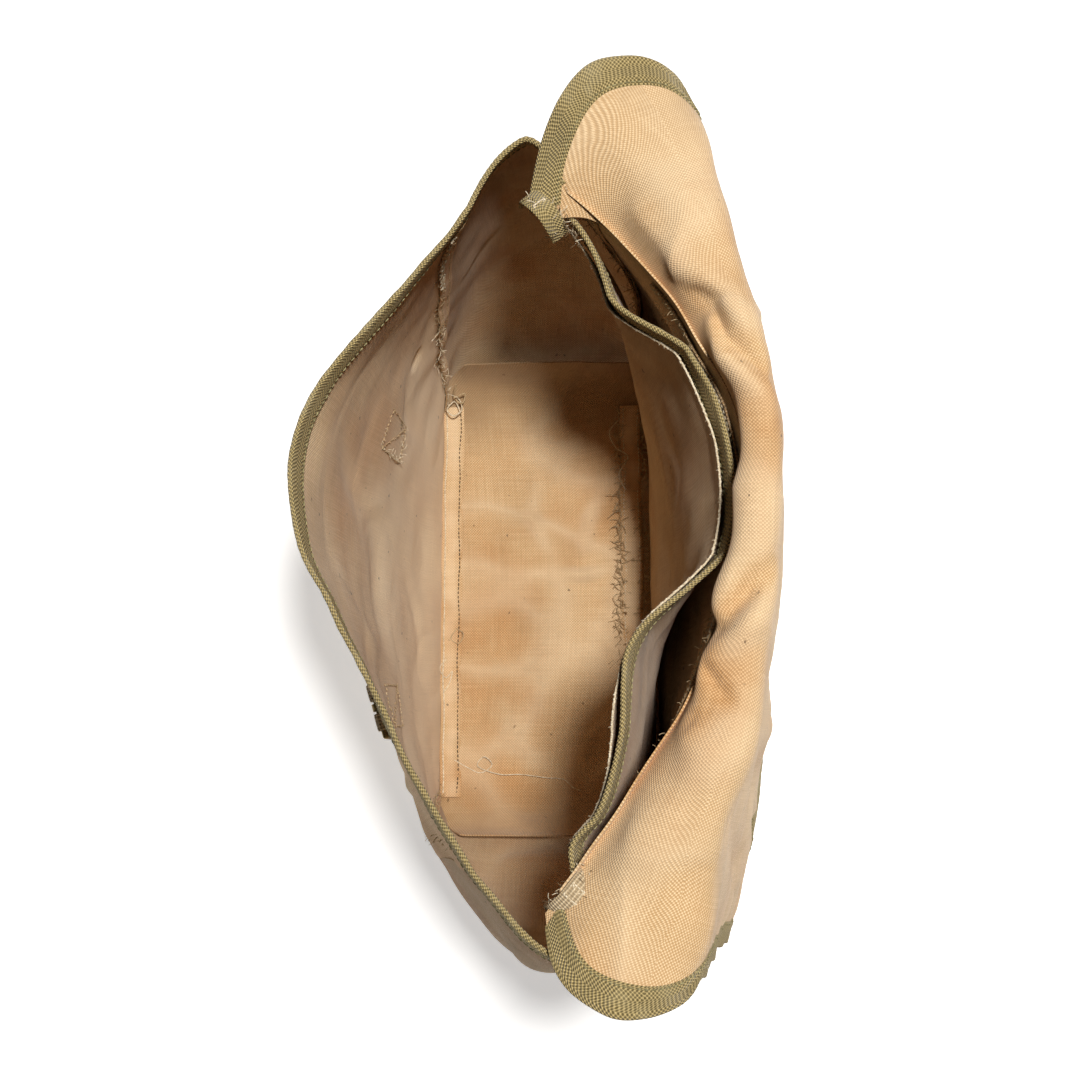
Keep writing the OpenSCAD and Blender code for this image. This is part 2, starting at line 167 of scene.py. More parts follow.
class Paint:
    def __init__(self, name):
        self.material = bpy.data.materials.new(name)
        self.material.use_nodes = True
        self.tree = self.material.node_tree
        self.tree.nodes.clear()
        self.uv = None

    def node(self, kind, settings=None, ins=None, out=0):
        made = self.tree.nodes.new(kind)
        for key, value in (settings or {}).items():
            if key == "stops":
                ramp = made.color_ramp
                while len(ramp.elements) < len(value):
                    ramp.elements.new(0.5)
                for element, (at, colour) in zip(ramp.elements, value):
                    element.position, element.color = at, (*colour, 1)
            else:
                setattr(made, key, value)
        for key, value in (ins or {}).items():
            socket = made.inputs[key]
            if isinstance(value, Maths):
                self.tree.links.new(value.socket, socket)
            elif hasattr(socket, "default_value"):
                if hasattr(value, "__len__") and len(value) == 3 and len(socket.default_value) == 4:
                    value = (*value, 1)
                socket.default_value = value
        return Maths(self, made.outputs[out])

    def split(self, vector):
        made = self.tree.nodes.new("ShaderNodeSeparateXYZ")
        self.tree.links.new(vector.socket, made.inputs[0])
        return [Maths(self, made.outputs[i]) for i in range(3)]

    def cloth(self):  # metres along and across the cloth
        return self.node("ShaderNodeUVMap", {"uv_map": "cloth"})

    def place(self):
        return self.node("ShaderNodeTexCoord", out="Object")

    def mark(self, name):  # a value painted on the mesh
        return self.node("ShaderNodeAttribute", {"attribute_name": name}, out="Fac")

    def cloud(self, where, scale, detail=3, rough=0.55, stretch=None):
        if stretch:
            where = self.node("ShaderNodeMapping", {}, {"Vector": where, "Scale": stretch})
        return self.node("ShaderNodeTexNoise", {}, {"Vector": where, "Scale": scale, "Detail": detail, "Roughness": rough})

    def blend(self, amount, a, b, how="MIX"):
        made = self.tree.nodes.new("ShaderNodeMix")
        made.data_type, made.blend_type = "RGBA", how
        for socket, value in ((made.inputs[0], amount), (made.inputs[6], a), (made.inputs[7], b)):
            if isinstance(value, Maths):
                self.tree.links.new(value.socket, socket)
            else:
                socket.default_value = (*value, 1) if hasattr(value, "__len__") else value
        return Maths(self, made.outputs[2])

    def surface(self, colour, rough, height=None, bumpDepth=0.001, bumpStrength=1.0, **fixed):
        ins = {"Base Color": colour, "Roughness": rough}
        if height is not None:
            ins["Normal"] = self.node("ShaderNodeBump", {}, {"Height": height, "Distance": bumpDepth, "Strength": bumpStrength})
        for key, value in fixed.items():
            ins[key.replace("_", " ")] = value
        shader = self.node("ShaderNodeBsdfPrincipled", {}, ins)
        out = self.tree.nodes.new("ShaderNodeOutputMaterial")
        self.tree.links.new(shader.socket, out.inputs["Surface"])
        return self.material


# ---------- finishes ----------
duck = {"pitch": 0.00084, "high": (0.92, 0.685, 0.425), "low": (0.55, 0.345, 0.165), "stain": (0.33, 0.205, 0.10),
        "relief": 0.00030}


def paintDuck(name, tint=1.0, stain=1.0):
    p = Paint(name)
    uv = p.cloth()
    across, along, _ = p.split(uv)
    where = p.place()
    wander = (p.cloud(where, 55.0, 2) - 0.5) * 0.0012  # threads are never quite straight
    turn = math.pi / duck["pitch"]
    weave = ((across + wander) * turn).sin() * ((along + wander) * turn).sin()
    threads = p.cloud(uv, 1.0, 2, 0.5, (1300, 22, 1)) + p.cloud(uv, 1.0, 2, 0.5, (22, 1300, 1)) - 1.0
    patches = p.cloud(where, 11.0, 4, 0.6)
    smudge = p.cloud(where, 30.0, 5, 0.68)
    fine = p.cloud(where, 480.0, 2, 0.5)
    dots = weave.ease(-0.35, 0.85)
    base = p.blend((dots * 0.95 + threads * 0.8 + (fine - 0.5) * 0.3).most(0).least(1), duck["low"], duck["high"])
    base = p.blend(patches.ease(0.40, 0.70) * 0.55, base, (0.70, 0.44, 0.21), "MULTIPLY")
    base = p.blend(smudge.ease(0.52, 0.80) * (0.34 * stain), base, duck["stain"])
    base = p.blend(p.mark("worn").most(0).least(1) * 0.55, base, (0.94, 0.78, 0.56))
    base = p.blend(p.cloud(where, 210.0, 2, 0.4).ease(0.735, 0.79) * 0.7, base, (0.10, 0.06, 0.03))
    # the soil mark darkens the cloth to brown: random dirt, and painted shade at the base's ends
    base = p.blend(p.mark("soil").most(0).least(1), base, (0.27, 0.17, 0.09))
    # a tint below 1 darkens the whole cloth: painted shade, used for the inside pieces
    grey = p.node("ShaderNodeCombineXYZ", {}, {0: tint, 1: tint * 0.985, 2: tint * 0.95})
    colour = p.node("ShaderNodeVectorMath", {"operation": "MULTIPLY"}, {0: base, 1: grey})
    height = weave * 0.6 + threads * 0.8 + fine * 0.35
    return p.surface(colour, 0.9, height, duck["relief"], 0.9, Sheen_Weight=0.2, Sheen_Roughness=0.5,
                     Specular_IOR_Level=0.15)


tapeFinish = {"pitch": 0.00185, "chevron": 0.0090, "light": (0.66, 0.505, 0.225), "dark": (0.15, 0.108, 0.036),
              "relief": 0.0006}


def paintTape(name):
    p = Paint(name)
    along, across, _ = p.split(p.cloth())
    where = p.place()
    step = (across / tapeFinish["chevron"]).fract()
    zigzag = (step - 0.5).abs() * (tapeFinish["chevron"] * 0.5)
    turn = 2 * math.pi / tapeFinish["pitch"]
    rib = ((along + zigzag + (p.cloud(where, 90.0, 2) - 0.5) * 0.0009) * turn).sin()
    float_ = (across * (2 * math.pi / 0.0019)).sin()
    fine = p.cloud(where, 1000.0, 2, 0.5)
    worn = p.cloud(where, 48.0, 4, 0.65)
    mask = (rib * float_ * 0.80 + rib * 0.16 + 0.50 + (fine - 0.5) * 0.5).most(0).least(1)
    base = p.blend(mask, tapeFinish["dark"], tapeFinish["light"])
    base = p.blend(worn.ease(0.50, 0.78) * 0.5, base, (0.55, 0.46, 0.26))
    base = p.blend(worn.ease(0.50, 0.20) * 0.35, base, (0.12, 0.10, 0.05))
    height = rib * float_ * 0.9 + fine * 0.4
    return p.surface(base, 0.88, height, tapeFinish["relief"], 0.9, Sheen_Weight=0.15, Specular_IOR_Level=0.15)


ribbed = {"pitch": 0.0019, "light": (0.74, 0.585, 0.375), "dark": (0.36, 0.255, 0.14), "relief": 0.0006}


def paintWebbing(name):
    p = Paint(name)
    along, across, _ = p.split(p.cloth())
    where = p.place()
    rib = (across * (2 * math.pi / ribbed["pitch"])).sin()
    pick = (along * (2 * math.pi / 0.0012)).sin()
    fine = p.cloud(where, 700.0, 2, 0.5)
    base = p.blend((rib * 0.4 + pick * 0.15 + 0.5 + (fine - 0.5) * 0.4).most(0).least(1), ribbed["dark"], ribbed["light"])
    base = p.blend(p.cloud(where, 45.0, 4, 0.6).ease(0.5, 0.8) * 0.5, base, (0.38, 0.27, 0.15))
    return p.surface(base, 0.88, rib * 0.6 + pick * 0.3 + fine * 0.3, ribbed["relief"], 0.9, Sheen_Weight=0.15,
                     Specular_IOR_Level=0.15)


def paintThread(name, light, dark):
    p = Paint(name)
    twist = p.cloud(p.place(), 900.0, 2, 0.5)
    return p.surface(p.blend(twist.ease(0.3, 0.7), dark, light), 0.85, twist, 0.0002, 0.6, Specular_IOR_Level=0.2)


def paintBrass(name):
    p = Paint(name)
    where = p.place()
    tarnish = p.cloud(where, 120.0, 5, 0.65)
    colour = p.blend(tarnish.ease(0.38, 0.66), (0.34, 0.24, 0.10), (0.075, 0.055, 0.03))
    return p.surface(colour, tarnish * 0.5 + 0.25, p.cloud(where, 900.0, 2, 0.5), 0.0002, 0.5, Metallic=0.9)


# "inner" is the same duck darkened to 0.74 as painted shade for the bag's shadowed inside pieces
finishes = {"canvas": paintDuck("duckCanvas"), "inner": paintDuck("duckInside", 0.74, 1.3),
            "tape": paintTape("oliveTape"), "webbing": paintWebbing("ribbedWebbing"),
            "paleThread": paintThread("paleThread", (0.86, 0.76, 0.58), (0.56, 0.44, 0.28)),
            "darkThread": paintThread("darkThread", (0.22, 0.145, 0.075), (0.07, 0.045, 0.025)),
            "khakiThread": paintThread("khakiThread", (0.62, 0.47, 0.28), (0.36, 0.25, 0.13)),
            "oliveThread": paintThread("oliveThread", (0.42, 0.37, 0.19), (0.17, 0.145, 0.07)),
            "brass": paintBrass("darkBrass")}
print("finishes ready")


# ---------- the bag's form, from the frame's own boxes ----------
def ends(*names):  # lowest and highest corners of some nodes, in millimetres
    boxes = [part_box(name) for name in names]
    low = [min(b[0][k] for b in boxes) / mm for k in range(3)]
    high = [max(b[1][k] for b in boxes) / mm for k in range(3)]
    return low, high


joints = {j["name"]: j for j in frame["joints"]}
baseLow, baseHigh = ends("base_panel")
bag = {"wall": 1.5, "baseLength": 300, "baseDepth": 140, "height": 265, "bulge": 46, "mouthHalf": 183,
       "mouthFront": 108, "mouthBack": 98, "corner": 20, "peakX": -25, "frontEndY": -3, "backSeamX": 158,
       "backSeamY": 12, "foldBack": (3, 15), "foot": 1.2, "tape": 13}


def mix(a, b, t): return a + (b - a) * t


def ease(t):
    c = np.clip(t, 0, 1)
    return c * c * (3 - 2 * c)


def hump(t, p): return 1 - np.minimum(np.abs(t), 1) ** p


def bezier(a, b, c, d, t): return a * (1 - t) ** 3 + 3 * b * t * (1 - t) ** 2 + 3 * c * t * t * (1 - t) + d * t ** 3


def tent(t, soft): return 1 - (np.sqrt(t * t + soft * soft) - soft) / (math.sqrt(1 + soft * soft) - soft)


def bump(x, at, wide): return np.exp(-((x - at) / wide) ** 2)


def sideT(x, half):
    peak = bag["peakX"]
    return np.where(x < peak, (peak - x) / (half + peak), (x - peak) / (half - peak))


def point(x, y, z): return np.stack(np.broadcast_arrays(x, y, z), -1) * mm


def frontRimY(x): return mix(bag["frontEndY"], -bag["mouthFront"], tent(sideT(x, bag["mouthHalf"]), 0.3))


def backRimY(x): return mix(bag["backSeamY"] - 6, bag["mouthBack"], hump(sideT(x, bag["backSeamX"] + 10), 1.8))


def dividerRimY(x):
    q = x / bag["mouthHalf"]
    return (8 + 34 * hump(x / (bag["backSeamX"] + 2), 5)
            + (bag["mouthBack"] - 47) * ease((q + 0.60) / 0.165) * (1 - ((q + 0.12) / 0.6) ** 2)
            * (1 - ease((q - 0.055) / 0.30)))


frontHalf = bag["baseLength"] / 2 + 3


def frontAt(u, v):
    t = 2 * u - 1
    h, low, tall = hump(t, 2.2), bag["baseDepth"] / 2, bag["height"]
    return point(t * bezier(bag["baseLength"] / 2 - bag["corner"], bag["baseLength"] / 2 + 6, bag["baseLength"] / 2,
                            frontHalf, v),
                 bezier(-low, -(low - 8 + 26 * h), -(low - 15 + 42 * h), frontRimY(t * frontHalf), v),
                 bezier(bag["foot"], tall * 0.26, tall * 0.64, tall, v))


def backAt(u, v):
    t = 2 * u - 1
    h, low, tall = hump(t, 2), bag["baseDepth"] / 2, bag["height"]
    return point(t * bezier(bag["baseLength"] / 2 - bag["corner"], bag["baseLength"] / 2 + 6,
                            bag["baseLength"] / 2 + 4, bag["backSeamX"], v),
                 bezier(low, low - 6 + 10 * h, low - 14 + 34 * h, backRimY(t * bag["backSeamX"]), v),
                 bezier(bag["foot"], tall * 0.26, tall * 0.64, tall + 2, v))


def gussetAt(side, u, v):
    t = 2 * u - 1
    f, b = frontAt(u * 0 + (side > 0), v), backAt(u * 0 + (side > 0), v)
    h = hump(t, 1.7 + 7 * (1 - v) ** 3)
    out = bezier(bag["corner"], 50, bag["bulge"] + 24, bag["mouthHalf"] - frontHalf, v)
    made = f + (b - f) * np.asarray(u)[..., None]
    made[..., 0] += side * out * h * mm
    made[..., 1] += bag["foldBack"][0 if side < 0 else 1] * h * v * v * mm
    return made


def rimAt(w, v):
    w = np.asarray(w, float)
    left, front, right = gussetAt(-1, 1 - w, v), frontAt(w - 1, v), gussetAt(1, w - 2, v)
    return np.where((w <= 1)[..., None], left, np.where((w <= 2)[..., None], front, right))


dividerHalf, dividerZ = bag["backSeamX"] - 4, bag["height"] - 6


def dividerAt(u, v):
    t = 2 * u - 1
    h, low, tall = hump(t, 2), bag["baseDepth"] / 2, bag["height"]
    x = t * dividerHalf
    return point(t * bezier(bag["baseLength"] / 2 - bag["corner"] - 6, bag["baseLength"] / 2 - 4,
                            bag["baseLength"] / 2 - 2, dividerHalf, v),
                 bezier(low - 4, low - 12 + 9 * h, low - 26 + 28 * h, np.minimum(dividerRimY(x), backRimY(x) - 6), v)
                 + (9 * bump(x, 158, 11) - 3 * bump(x, 140, 8)) * v ** 3,
                 bezier(bag["foot"] + 2, tall * 0.26, tall * 0.64, dividerZ, v))


pocket = {"gap": 4.0, "low": 0.3, "high": 0.965}


def pocketAt(u, v):
    made = dividerAt(mix(0.02, 0.98, u), mix(pocket["low"], pocket["high"], v))
    made[..., 1] -= (pocket["gap"] - 1.5 * bump(u, 0.35, 0.08) + 2.5 * bump(u, 0.8, 0.06)) * mm
    return made


hinge, fold = (np.array(joints[k]["pos_m"]) / mm for k in ("flap_hinge", "flap_fold"))
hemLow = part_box("flap_lower")[0][2] / mm - (bag["tape"] - 1)
flap = {"half": 210, "crest": 284, "lean": 16, "edgeLean": 6, "tape": 12, "dip": 14, "rightDip": 12, "rightIn": 5}
outerPeakY = bag["mouthBack"] + 14
foldZ, foldY, edgeZ = fold[2], outerPeakY + flap["lean"], hemLow


def outerY(x): return outerPeakY - 45 * (1 - hump(sideT(x, flap["half"]), 1.7)) - 5 * bump(x, 135, 30)


def lip(x):  # how the roll's inner edge swells in and out along the mouth
    return (-4.5 - 8 * bump(x, -140, 14) + 8 * bump(x, 162, 16) - 6 * bump(x, -117, 9) + 9 * bump(x, -101, 6) - 5 * bump(x, -76, 15) - 4 * bump(x, 35, 12)
            - 4 * bump(x, 64, 10) - 4 * bump(x, 92, 9) + 5 * bump(x, 121, 14) + 4 * bump(x, 50, 5))


def crestAt(u, v):
    t = 2 * u - 1
    high = flap["crest"] - bag["wall"] / 2
    made = point(bezier(t * (bag["backSeamX"] + 10), t * (flap["half"] + 14), t * (flap["half"] + 10),
                        t * (flap["half"] - 12), v),
                 bezier(backRimY(t * (bag["backSeamX"] + 10)) + 1.2, backRimY(t * bag["backSeamX"]) - 7,
                        outerY(t * flap["half"]) + 2, outerY(t * (flap["half"] - 12)), v),
                 bezier(bag["height"] - 1.5, high + 5, high + 6, flap["crest"] - 12, v))
    made[..., 1] += lip(made[..., 0] / mm) * np.sin(math.pi * np.clip(v / 0.6, 0, 1)) ** 2 * mm
    made[..., 0] -= flap["rightIn"] * np.clip(t, 0, 1) ** 2 * v * mm
    tuck = bump(t, -1, 0.09) * (1 - ease(v / 0.42))  # the left ear's foot is drawn in to the corner of the mouth
    made[..., 0] += 15 * tuck * mm
    made[..., 1] -= 7 * tuck * mm
    made[..., 2] -= 5 * tuck * mm
    return made


def upperAt(u, v):  # v runs from the fold, 0, to the roll, 1
    t = 2 * u - 1
    top = crestAt(u, v * 0 + 1) / mm
    return point(mix(t * (flap["half"] - 5), top[..., 0], v), mix(foldY - dipOf(t), top[..., 1], v),
                 mix(foldZ, top[..., 2], v))


def dipOf(t): return flap["dip"] * np.abs(t) ** 3 + flap["rightDip"] * np.clip(t, 0, 1) ** 3


def lowerAt(u, v):
    t = 2 * u - 1
    return point(t * (flap["half"] - 5), mix(foldY + flap["edgeLean"], foldY, v) - dipOf(t), mix(edgeZ, foldZ, v))


# ---------- cloth made of grids ----------
def span(count, low=0.0, high=1.0): return np.linspace(low, high, count + 1)


def grid(fn, us, vs):
    u, v = np.meshgrid(us, vs, indexing="ij")
    return fn(u, v)


def unit(a): return a / np.maximum(np.linalg.norm(a, axis=-1, keepdims=True), 1e-12)


def normalsOf(p): return unit(np.cross(np.gradient(p, axis=0), np.gradient(p, axis=1)))


def lengthsOf(p):  # metres along and across the cloth at every point
    du = np.concatenate([np.zeros_like(p[:1, :, 0]), np.linalg.norm(np.diff(p, axis=0), axis=-1)]).cumsum(0)
    dv = np.concatenate([np.zeros_like(p[:, :1, 0]), np.linalg.norm(np.diff(p, axis=1), axis=-1)], 1).cumsum(1)
    return du - du[du.shape[0] // 2][None, :], dv


def drift(q):  # a smooth three-way wander, the same on every run
    return Vector([noise.noise(q + Vector((31.4 * k, 17.3 * k, 57.9 * k))) for k in range(3)])


def ripple(p, scale, seed):  # smooth noise over the points, about -1 to 1
    flat = p.reshape(-1, 3) * scale + seed * 7.3
    return np.array([noise.noise(q) for q in flat.tolist()]).reshape(p.shape[:-1])


def crumple(p, scale, seed):  # sharp-edged dents, 0 on the flat and up to 1 on their edges
    bent = p + 0.012 * np.stack([ripple(p, scale * 0.6, seed + k) for k in (1, 2, 3)], -1)
    return np.clip(1 - 2.6 * np.abs(ripple(bent, scale, seed)), 0, 1) ** 2


def creases(p, folds):  # ridges and valleys laid along lines; places, widths and heights in millimetres
    total = np.zeros(p.shape[:-1])
    for line, width, height in folds:
        points = np.array(line, float) * mm
        near = np.full(p.shape[:-1], 1e3)
        for a, b in zip(points[:-1], points[1:]):
            t = np.clip(((p - a) @ (b - a)) / ((b - a) @ (b - a)), 0, 1)
            near = np.minimum(near, np.linalg.norm(p - a - t[..., None] * (b - a), axis=-1))
        fade = np.clip(1.15 - np.linalg.norm(p - points.mean(0), axis=-1)
                       / np.linalg.norm(points - points.mean(0), axis=-1).max(), 0.25, 1)
        total += height * mm * np.exp(-(near / (width * mm)) ** 2) * fade
    return total


tabSpots = [np.array(joints[name]["pos_m"]) - (0, 0, reach) for name, reach in
            (("left_buckle_swing", 0.02), ("right_buckle_swing", 0.02), ("left_ring_swing", -0.012), ("right_ring_swing", -0.012))]


def loose(p):  # 0 under the webbing tabs, where the cloth lies flat, and 1 away from them
    made = np.ones(p.shape[:-1])
    for spot in tabSpots:
        made = made * (1 - np.exp(-(np.linalg.norm(p - spot, axis=-1) / 0.030) ** 4))
    return made


def shake(p, seed=3.0):  # soft unevenness that neighbouring pieces share, so their seams stay together
    flat = p.reshape(-1, 3)
    moved = np.array([drift(Vector(q * 13 + seed)) * 0.0034 + drift(Vector(q * 37 + seed)) * 0.0015
                      for q in flat])
    moved[:, 2] *= 0.45 * np.clip(flat[:, 2] / 0.03, 0, 1)
    return p + moved.reshape(p.shape) * np.clip(p[..., 2:] / 0.02, 0.12, 1) * (0.15 + 0.85 * loose(p)[..., None])


def addMesh(name, verts, faces, uv, paint, loopNormals=None, marks=None):
    mesh = bpy.data.meshes.new(name)
    mesh.from_pydata(verts.reshape(-1, 3).tolist(), [], [list(map(int, f)) for f in faces])
    index = np.zeros(len(mesh.loops), int)
    mesh.loops.foreach_get("vertex_index", index)
    layer = mesh.uv_layers.new(name="cloth")
    layer.data.foreach_set("uv", uv.reshape(-1, 2)[index].astype(np.float32).ravel())
    for key, value in (marks or {}).items():
        mesh.attributes.new(key, "FLOAT", "POINT").data.foreach_set("value", value.astype(np.float32).ravel())
    mesh.polygons.foreach_set("use_smooth", [True] * len(mesh.polygons))
    if loopNormals is not None:
        mesh.normals_split_custom_set(loopNormals.reshape(-1, 3).tolist())
    mesh.materials.append(paint)
    made = bpy.data.objects.new(name, mesh)
    bpy.context.collection.objects.link(made)
    return made


def clothMesh(name, p, thick, paint, uvOffset=(0.0, 0.0), marks=None, normals=None):
    n = normalsOf(p) if normals is None else normals
    nu, nv = p.shape[0] - 1, p.shape[1] - 1
    count = (nu + 1) * (nv + 1)
    index = np.arange(count).reshape(nu + 1, nv + 1)
    a, b, c, d = (q.ravel() for q in (index[:-1, :-1], index[1:, :-1], index[1:, 1:], index[:-1, 1:]))
    front, back = np.stack([a, b, c, d], 1), np.stack([a, d, c, b], 1) + count
    rims = [np.stack([index[1:, 0], index[:-1, 0], index[:-1, 0] + count, index[1:, 0] + count], 1),
            np.stack([index[:-1, -1], index[1:, -1], index[1:, -1] + count, index[:-1, -1] + count], 1),
            np.stack([index[0, :-1], index[0, 1:], index[0, 1:] + count, index[0, :-1] + count], 1),
            np.stack([index[-1, 1:], index[-1, :-1], index[-1, :-1] + count, index[-1, 1:] + count], 1)]
    verts = np.concatenate([(p + n * thick / 2).reshape(-1, 3), (p - n * thick / 2).reshape(-1, 3)])
    faces = np.concatenate([front, back, *rims])
    flatN, rim = n.reshape(-1, 3), np.concatenate(rims)
    q = verts[rim]
    rimN = unit(np.cross(q[:, 1] - q[:, 0], q[:, 2] - q[:, 0]))[:, None, :].repeat(4, 1)
    loopN = np.concatenate([flatN[front], -flatN[back - count], rimN])
    du, dv = lengthsOf(p)
    uv = np.stack([du + uvOffset[0], dv + uvOffset[1]], -1).reshape(-1, 2)
    both = {k: np.concatenate([m.ravel(), m.ravel()]) for k, m in (marks or {}).items()}
    return addMesh(name, verts, faces, np.concatenate([uv, uv]), paint, loopN, both)


def tubeMesh(name, rings, paint, uv=None, sharp=35):  # rings of points, joined into a closed solid
    count, ring = rings.shape[:2]
    index = np.arange(count * ring).reshape(count, ring)
    nxt = np.roll(index, -1, axis=1)
    faces = [*np.stack([index[:-1], nxt[:-1], nxt[1:], index[1:]], -1).reshape(-1, 4), index[0][::-1], index[-1]]
    if uv is None:
        along = np.concatenate([[0], np.linalg.norm(np.diff(rings.mean(1), axis=0), axis=-1)]).cumsum()
        around = np.concatenate([[0], np.linalg.norm(np.diff(rings[0], axis=0), axis=-1)]).cumsum()
        uv = np.stack(np.broadcast_arrays(along[:, None], around[None, :]), -1)
    made = addMesh(name, rings, faces, uv, paint)
    bm = bmesh.new()
    bm.from_mesh(made.data)
    bmesh.ops.recalc_face_normals(bm, faces=bm.faces)
    bm.to_mesh(made.data)
    bm.free()
    made.data.set_sharp_from_angle(angle=math.radians(sharp))
    return made


tapeCut = {"halfThick": 1.3, "nose": 1.3, "noseSteps": 7, "pucker": 0.16}


def foldedTape(name, p):  # p runs along the edge, and from the leg's end in to the edge itself
    n = normalsOf(p)
    along = np.concatenate([[0], np.linalg.norm(np.diff(p[:, -1], axis=0), axis=-1)]).cumsum()
    wob = (ripple(p[:, :1], 160, 5) + 0.6 * np.sin(along / (3.0 * mm) * 2 * math.pi)[:, None]) * tapeCut["pucker"]
    half = (tapeCut["halfThick"] + wob[:, :, None]) * mm
    thin = np.linspace(0.45, 1.0, 3).tolist() + [1.0] * (p.shape[1] - 3)  # the legs' edges lie down on the canvas
    half = half * np.array(thin)[None, :, None]
    out = unit(p[:, -1] - p[:, -2])
    angles = np.linspace(math.pi / 2, -math.pi / 2, tapeCut["noseSteps"] + 2)[1:-1]
    nose = [p[:, -1] + out * tapeCut["nose"] * mm * math.cos(a) + n[:, -1] * half[:, -1] * math.sin(a) for a in angles]
    rings = np.concatenate([p + n * half, np.stack(nose, 1), (p - n * half)[:, ::-1]], 1)
    around = np.concatenate([[0], np.linalg.norm(np.diff(rings[len(rings) // 2], axis=0), axis=-1)]).cumsum()
    uv = np.stack(np.broadcast_arrays(along[:, None], around[None, :]), -1)
    return tubeMesh(name, rings, finishes["tape"], uv, 50)


def ribbon(name, centre, wide, thick, paint, turns=None):  # a flat strip along a path, wide = its sideways direction
    centre, wide = np.array(centre, float), unit(np.array(wide, float))
    ahead = unit(np.gradient(centre, axis=0))
    up = unit(np.cross(ahead, wide * np.ones_like(centre)))
    side = unit(np.cross(up, ahead))
    half, edge = turns or (12.5 * mm, 0.35)
    ring = []
    for a in np.linspace(0, 2 * math.pi, 20, endpoint=False):
        c, s = math.cos(a), math.sin(a)
        ring.append(centre + side * half * np.sign(c) * abs(c) ** edge + up * thick / 2 * np.sign(s) * abs(s) ** 0.6)
    rings = np.stack(ring, 1)
    along = np.concatenate([[0], np.linalg.norm(np.diff(centre, axis=0), axis=-1)]).cumsum()
    across = np.linspace(0, 1, 20, endpoint=False)
    place = np.cos(across * 2 * math.pi)
    uv = np.stack(np.broadcast_arrays(along[:, None], (np.sign(place) * np.abs(place) ** edge * half)[None, :]), -1)
    return tubeMesh(name, rings, paint, uv, 60)


def smoothPath(points, count):  # a round path through a few points, in millimetres
    points = np.array(points, float) * mm
    k = np.linspace(0, len(points) - 1, count)
    i = np.clip(k.astype(int), 0, len(points) - 2)
    f = (k - i)[:, None]
    padded = np.concatenate([[2 * points[0] - points[1]], points, [2 * points[-1] - points[-2]]])
    a, b, c, d = padded[i], padded[i + 1], padded[i + 2], padded[i + 3]
    return 0.5 * (2 * b + (c - a) * f + (2 * a - 5 * b + 4 * c - d) * f * f + (3 * b - a - 3 * c + d) * f ** 3)


# ---------- stitches and loose threads, as node trees ----------
def newTree(name, inputs):
    tree = bpy.data.node_groups.new(name, "GeometryNodeTree")
    tree.interface.new_socket("Geometry", in_out="INPUT", socket_type="NodeSocketGeometry")
    tree.interface.new_socket("Geometry", in_out="OUTPUT", socket_type="NodeSocketGeometry")
    for label, kind, value in inputs:
        socket = tree.interface.new_socket(label, in_out="INPUT", socket_type=kind)
        if value is not None:
            socket.default_value = value
    start, end = tree.nodes.new("NodeGroupInput"), tree.nodes.new("NodeGroupOutput")

    def add(kind, settings=None, ins=None):
        made = tree.nodes.new(kind)
        for key, value in (settings or {}).items():
            setattr(made, key, value)
        for key, value in (ins or {}).items():
            if isinstance(value, bpy.types.NodeSocket):
                tree.links.new(value, made.inputs[key])
            else:
                made.inputs[key].default_value = value
        return made
    return tree, start.outputs, end, add


def makeStitchTree():  # one small grain of thread for every stitch along the edges it is given
    tree, given, end, add = newTree("stitchRun", [("Pitch", "NodeSocketFloat", 0.003), ("Length", "NodeSocketFloat", 0.0022),
                                                  ("Radius", "NodeSocketFloat", 0.0004), ("Jitter", "NodeSocketFloat", 0.00015),
                                                  ("Seed", "NodeSocketInt", 1), ("Finish", "NodeSocketMaterial", None)])
    curve = add("GeometryNodeMeshToCurve", ins={0: given["Geometry"]})
    spaced = add("GeometryNodeResampleCurve", {"mode": "LENGTH"}, {"Curve": curve.outputs[0], "Length": given["Pitch"]})
    tangent = add("GeometryNodeInputTangent")
    turn = add("FunctionNodeAlignRotationToVector", {"axis": "Z"}, {"Vector": tangent.outputs[0]})
    wobble = add("FunctionNodeRandomValue", {"data_type": "FLOAT_VECTOR"}, {0: (-1, -1, -1), 1: (1, 1, 1), "Seed": given["Seed"]})
    small = add("ShaderNodeVectorMath", {"operation": "SCALE"}, {0: wobble.outputs[0], "Scale": given["Jitter"]})
    moved = add("GeometryNodeSetPosition", ins={"Geometry": spaced.outputs[0], "Offset": small.outputs[0]})
    half = add("ShaderNodeMath", {"operation": "MULTIPLY"}, {0: given["Length"], 1: 0.5})
    size = add("ShaderNodeCombineXYZ", ins={0: given["Radius"], 1: given["Radius"], 2: half.outputs[0]})
    grain = add("GeometryNodeMeshUVSphere", ins={"Segments": 6, "Rings": 5, "Radius": 1.0})
    placed = add("GeometryNodeInstanceOnPoints", ins={"Points": moved.outputs[0], "Instance": grain.outputs[0],
                                                      "Rotation": turn.outputs[0], "Scale": size.outputs[0]})
    real = add("GeometryNodeRealizeInstances", ins={0: placed.outputs[0]})
    smooth = add("GeometryNodeSetShadeSmooth", ins={0: real.outputs[0]})
    finish = add("GeometryNodeSetMaterial", ins={"Geometry": smooth.outputs[0], "Material": given["Finish"]})
    tree.links.new(finish.outputs[0], end.inputs[0])
    return tree


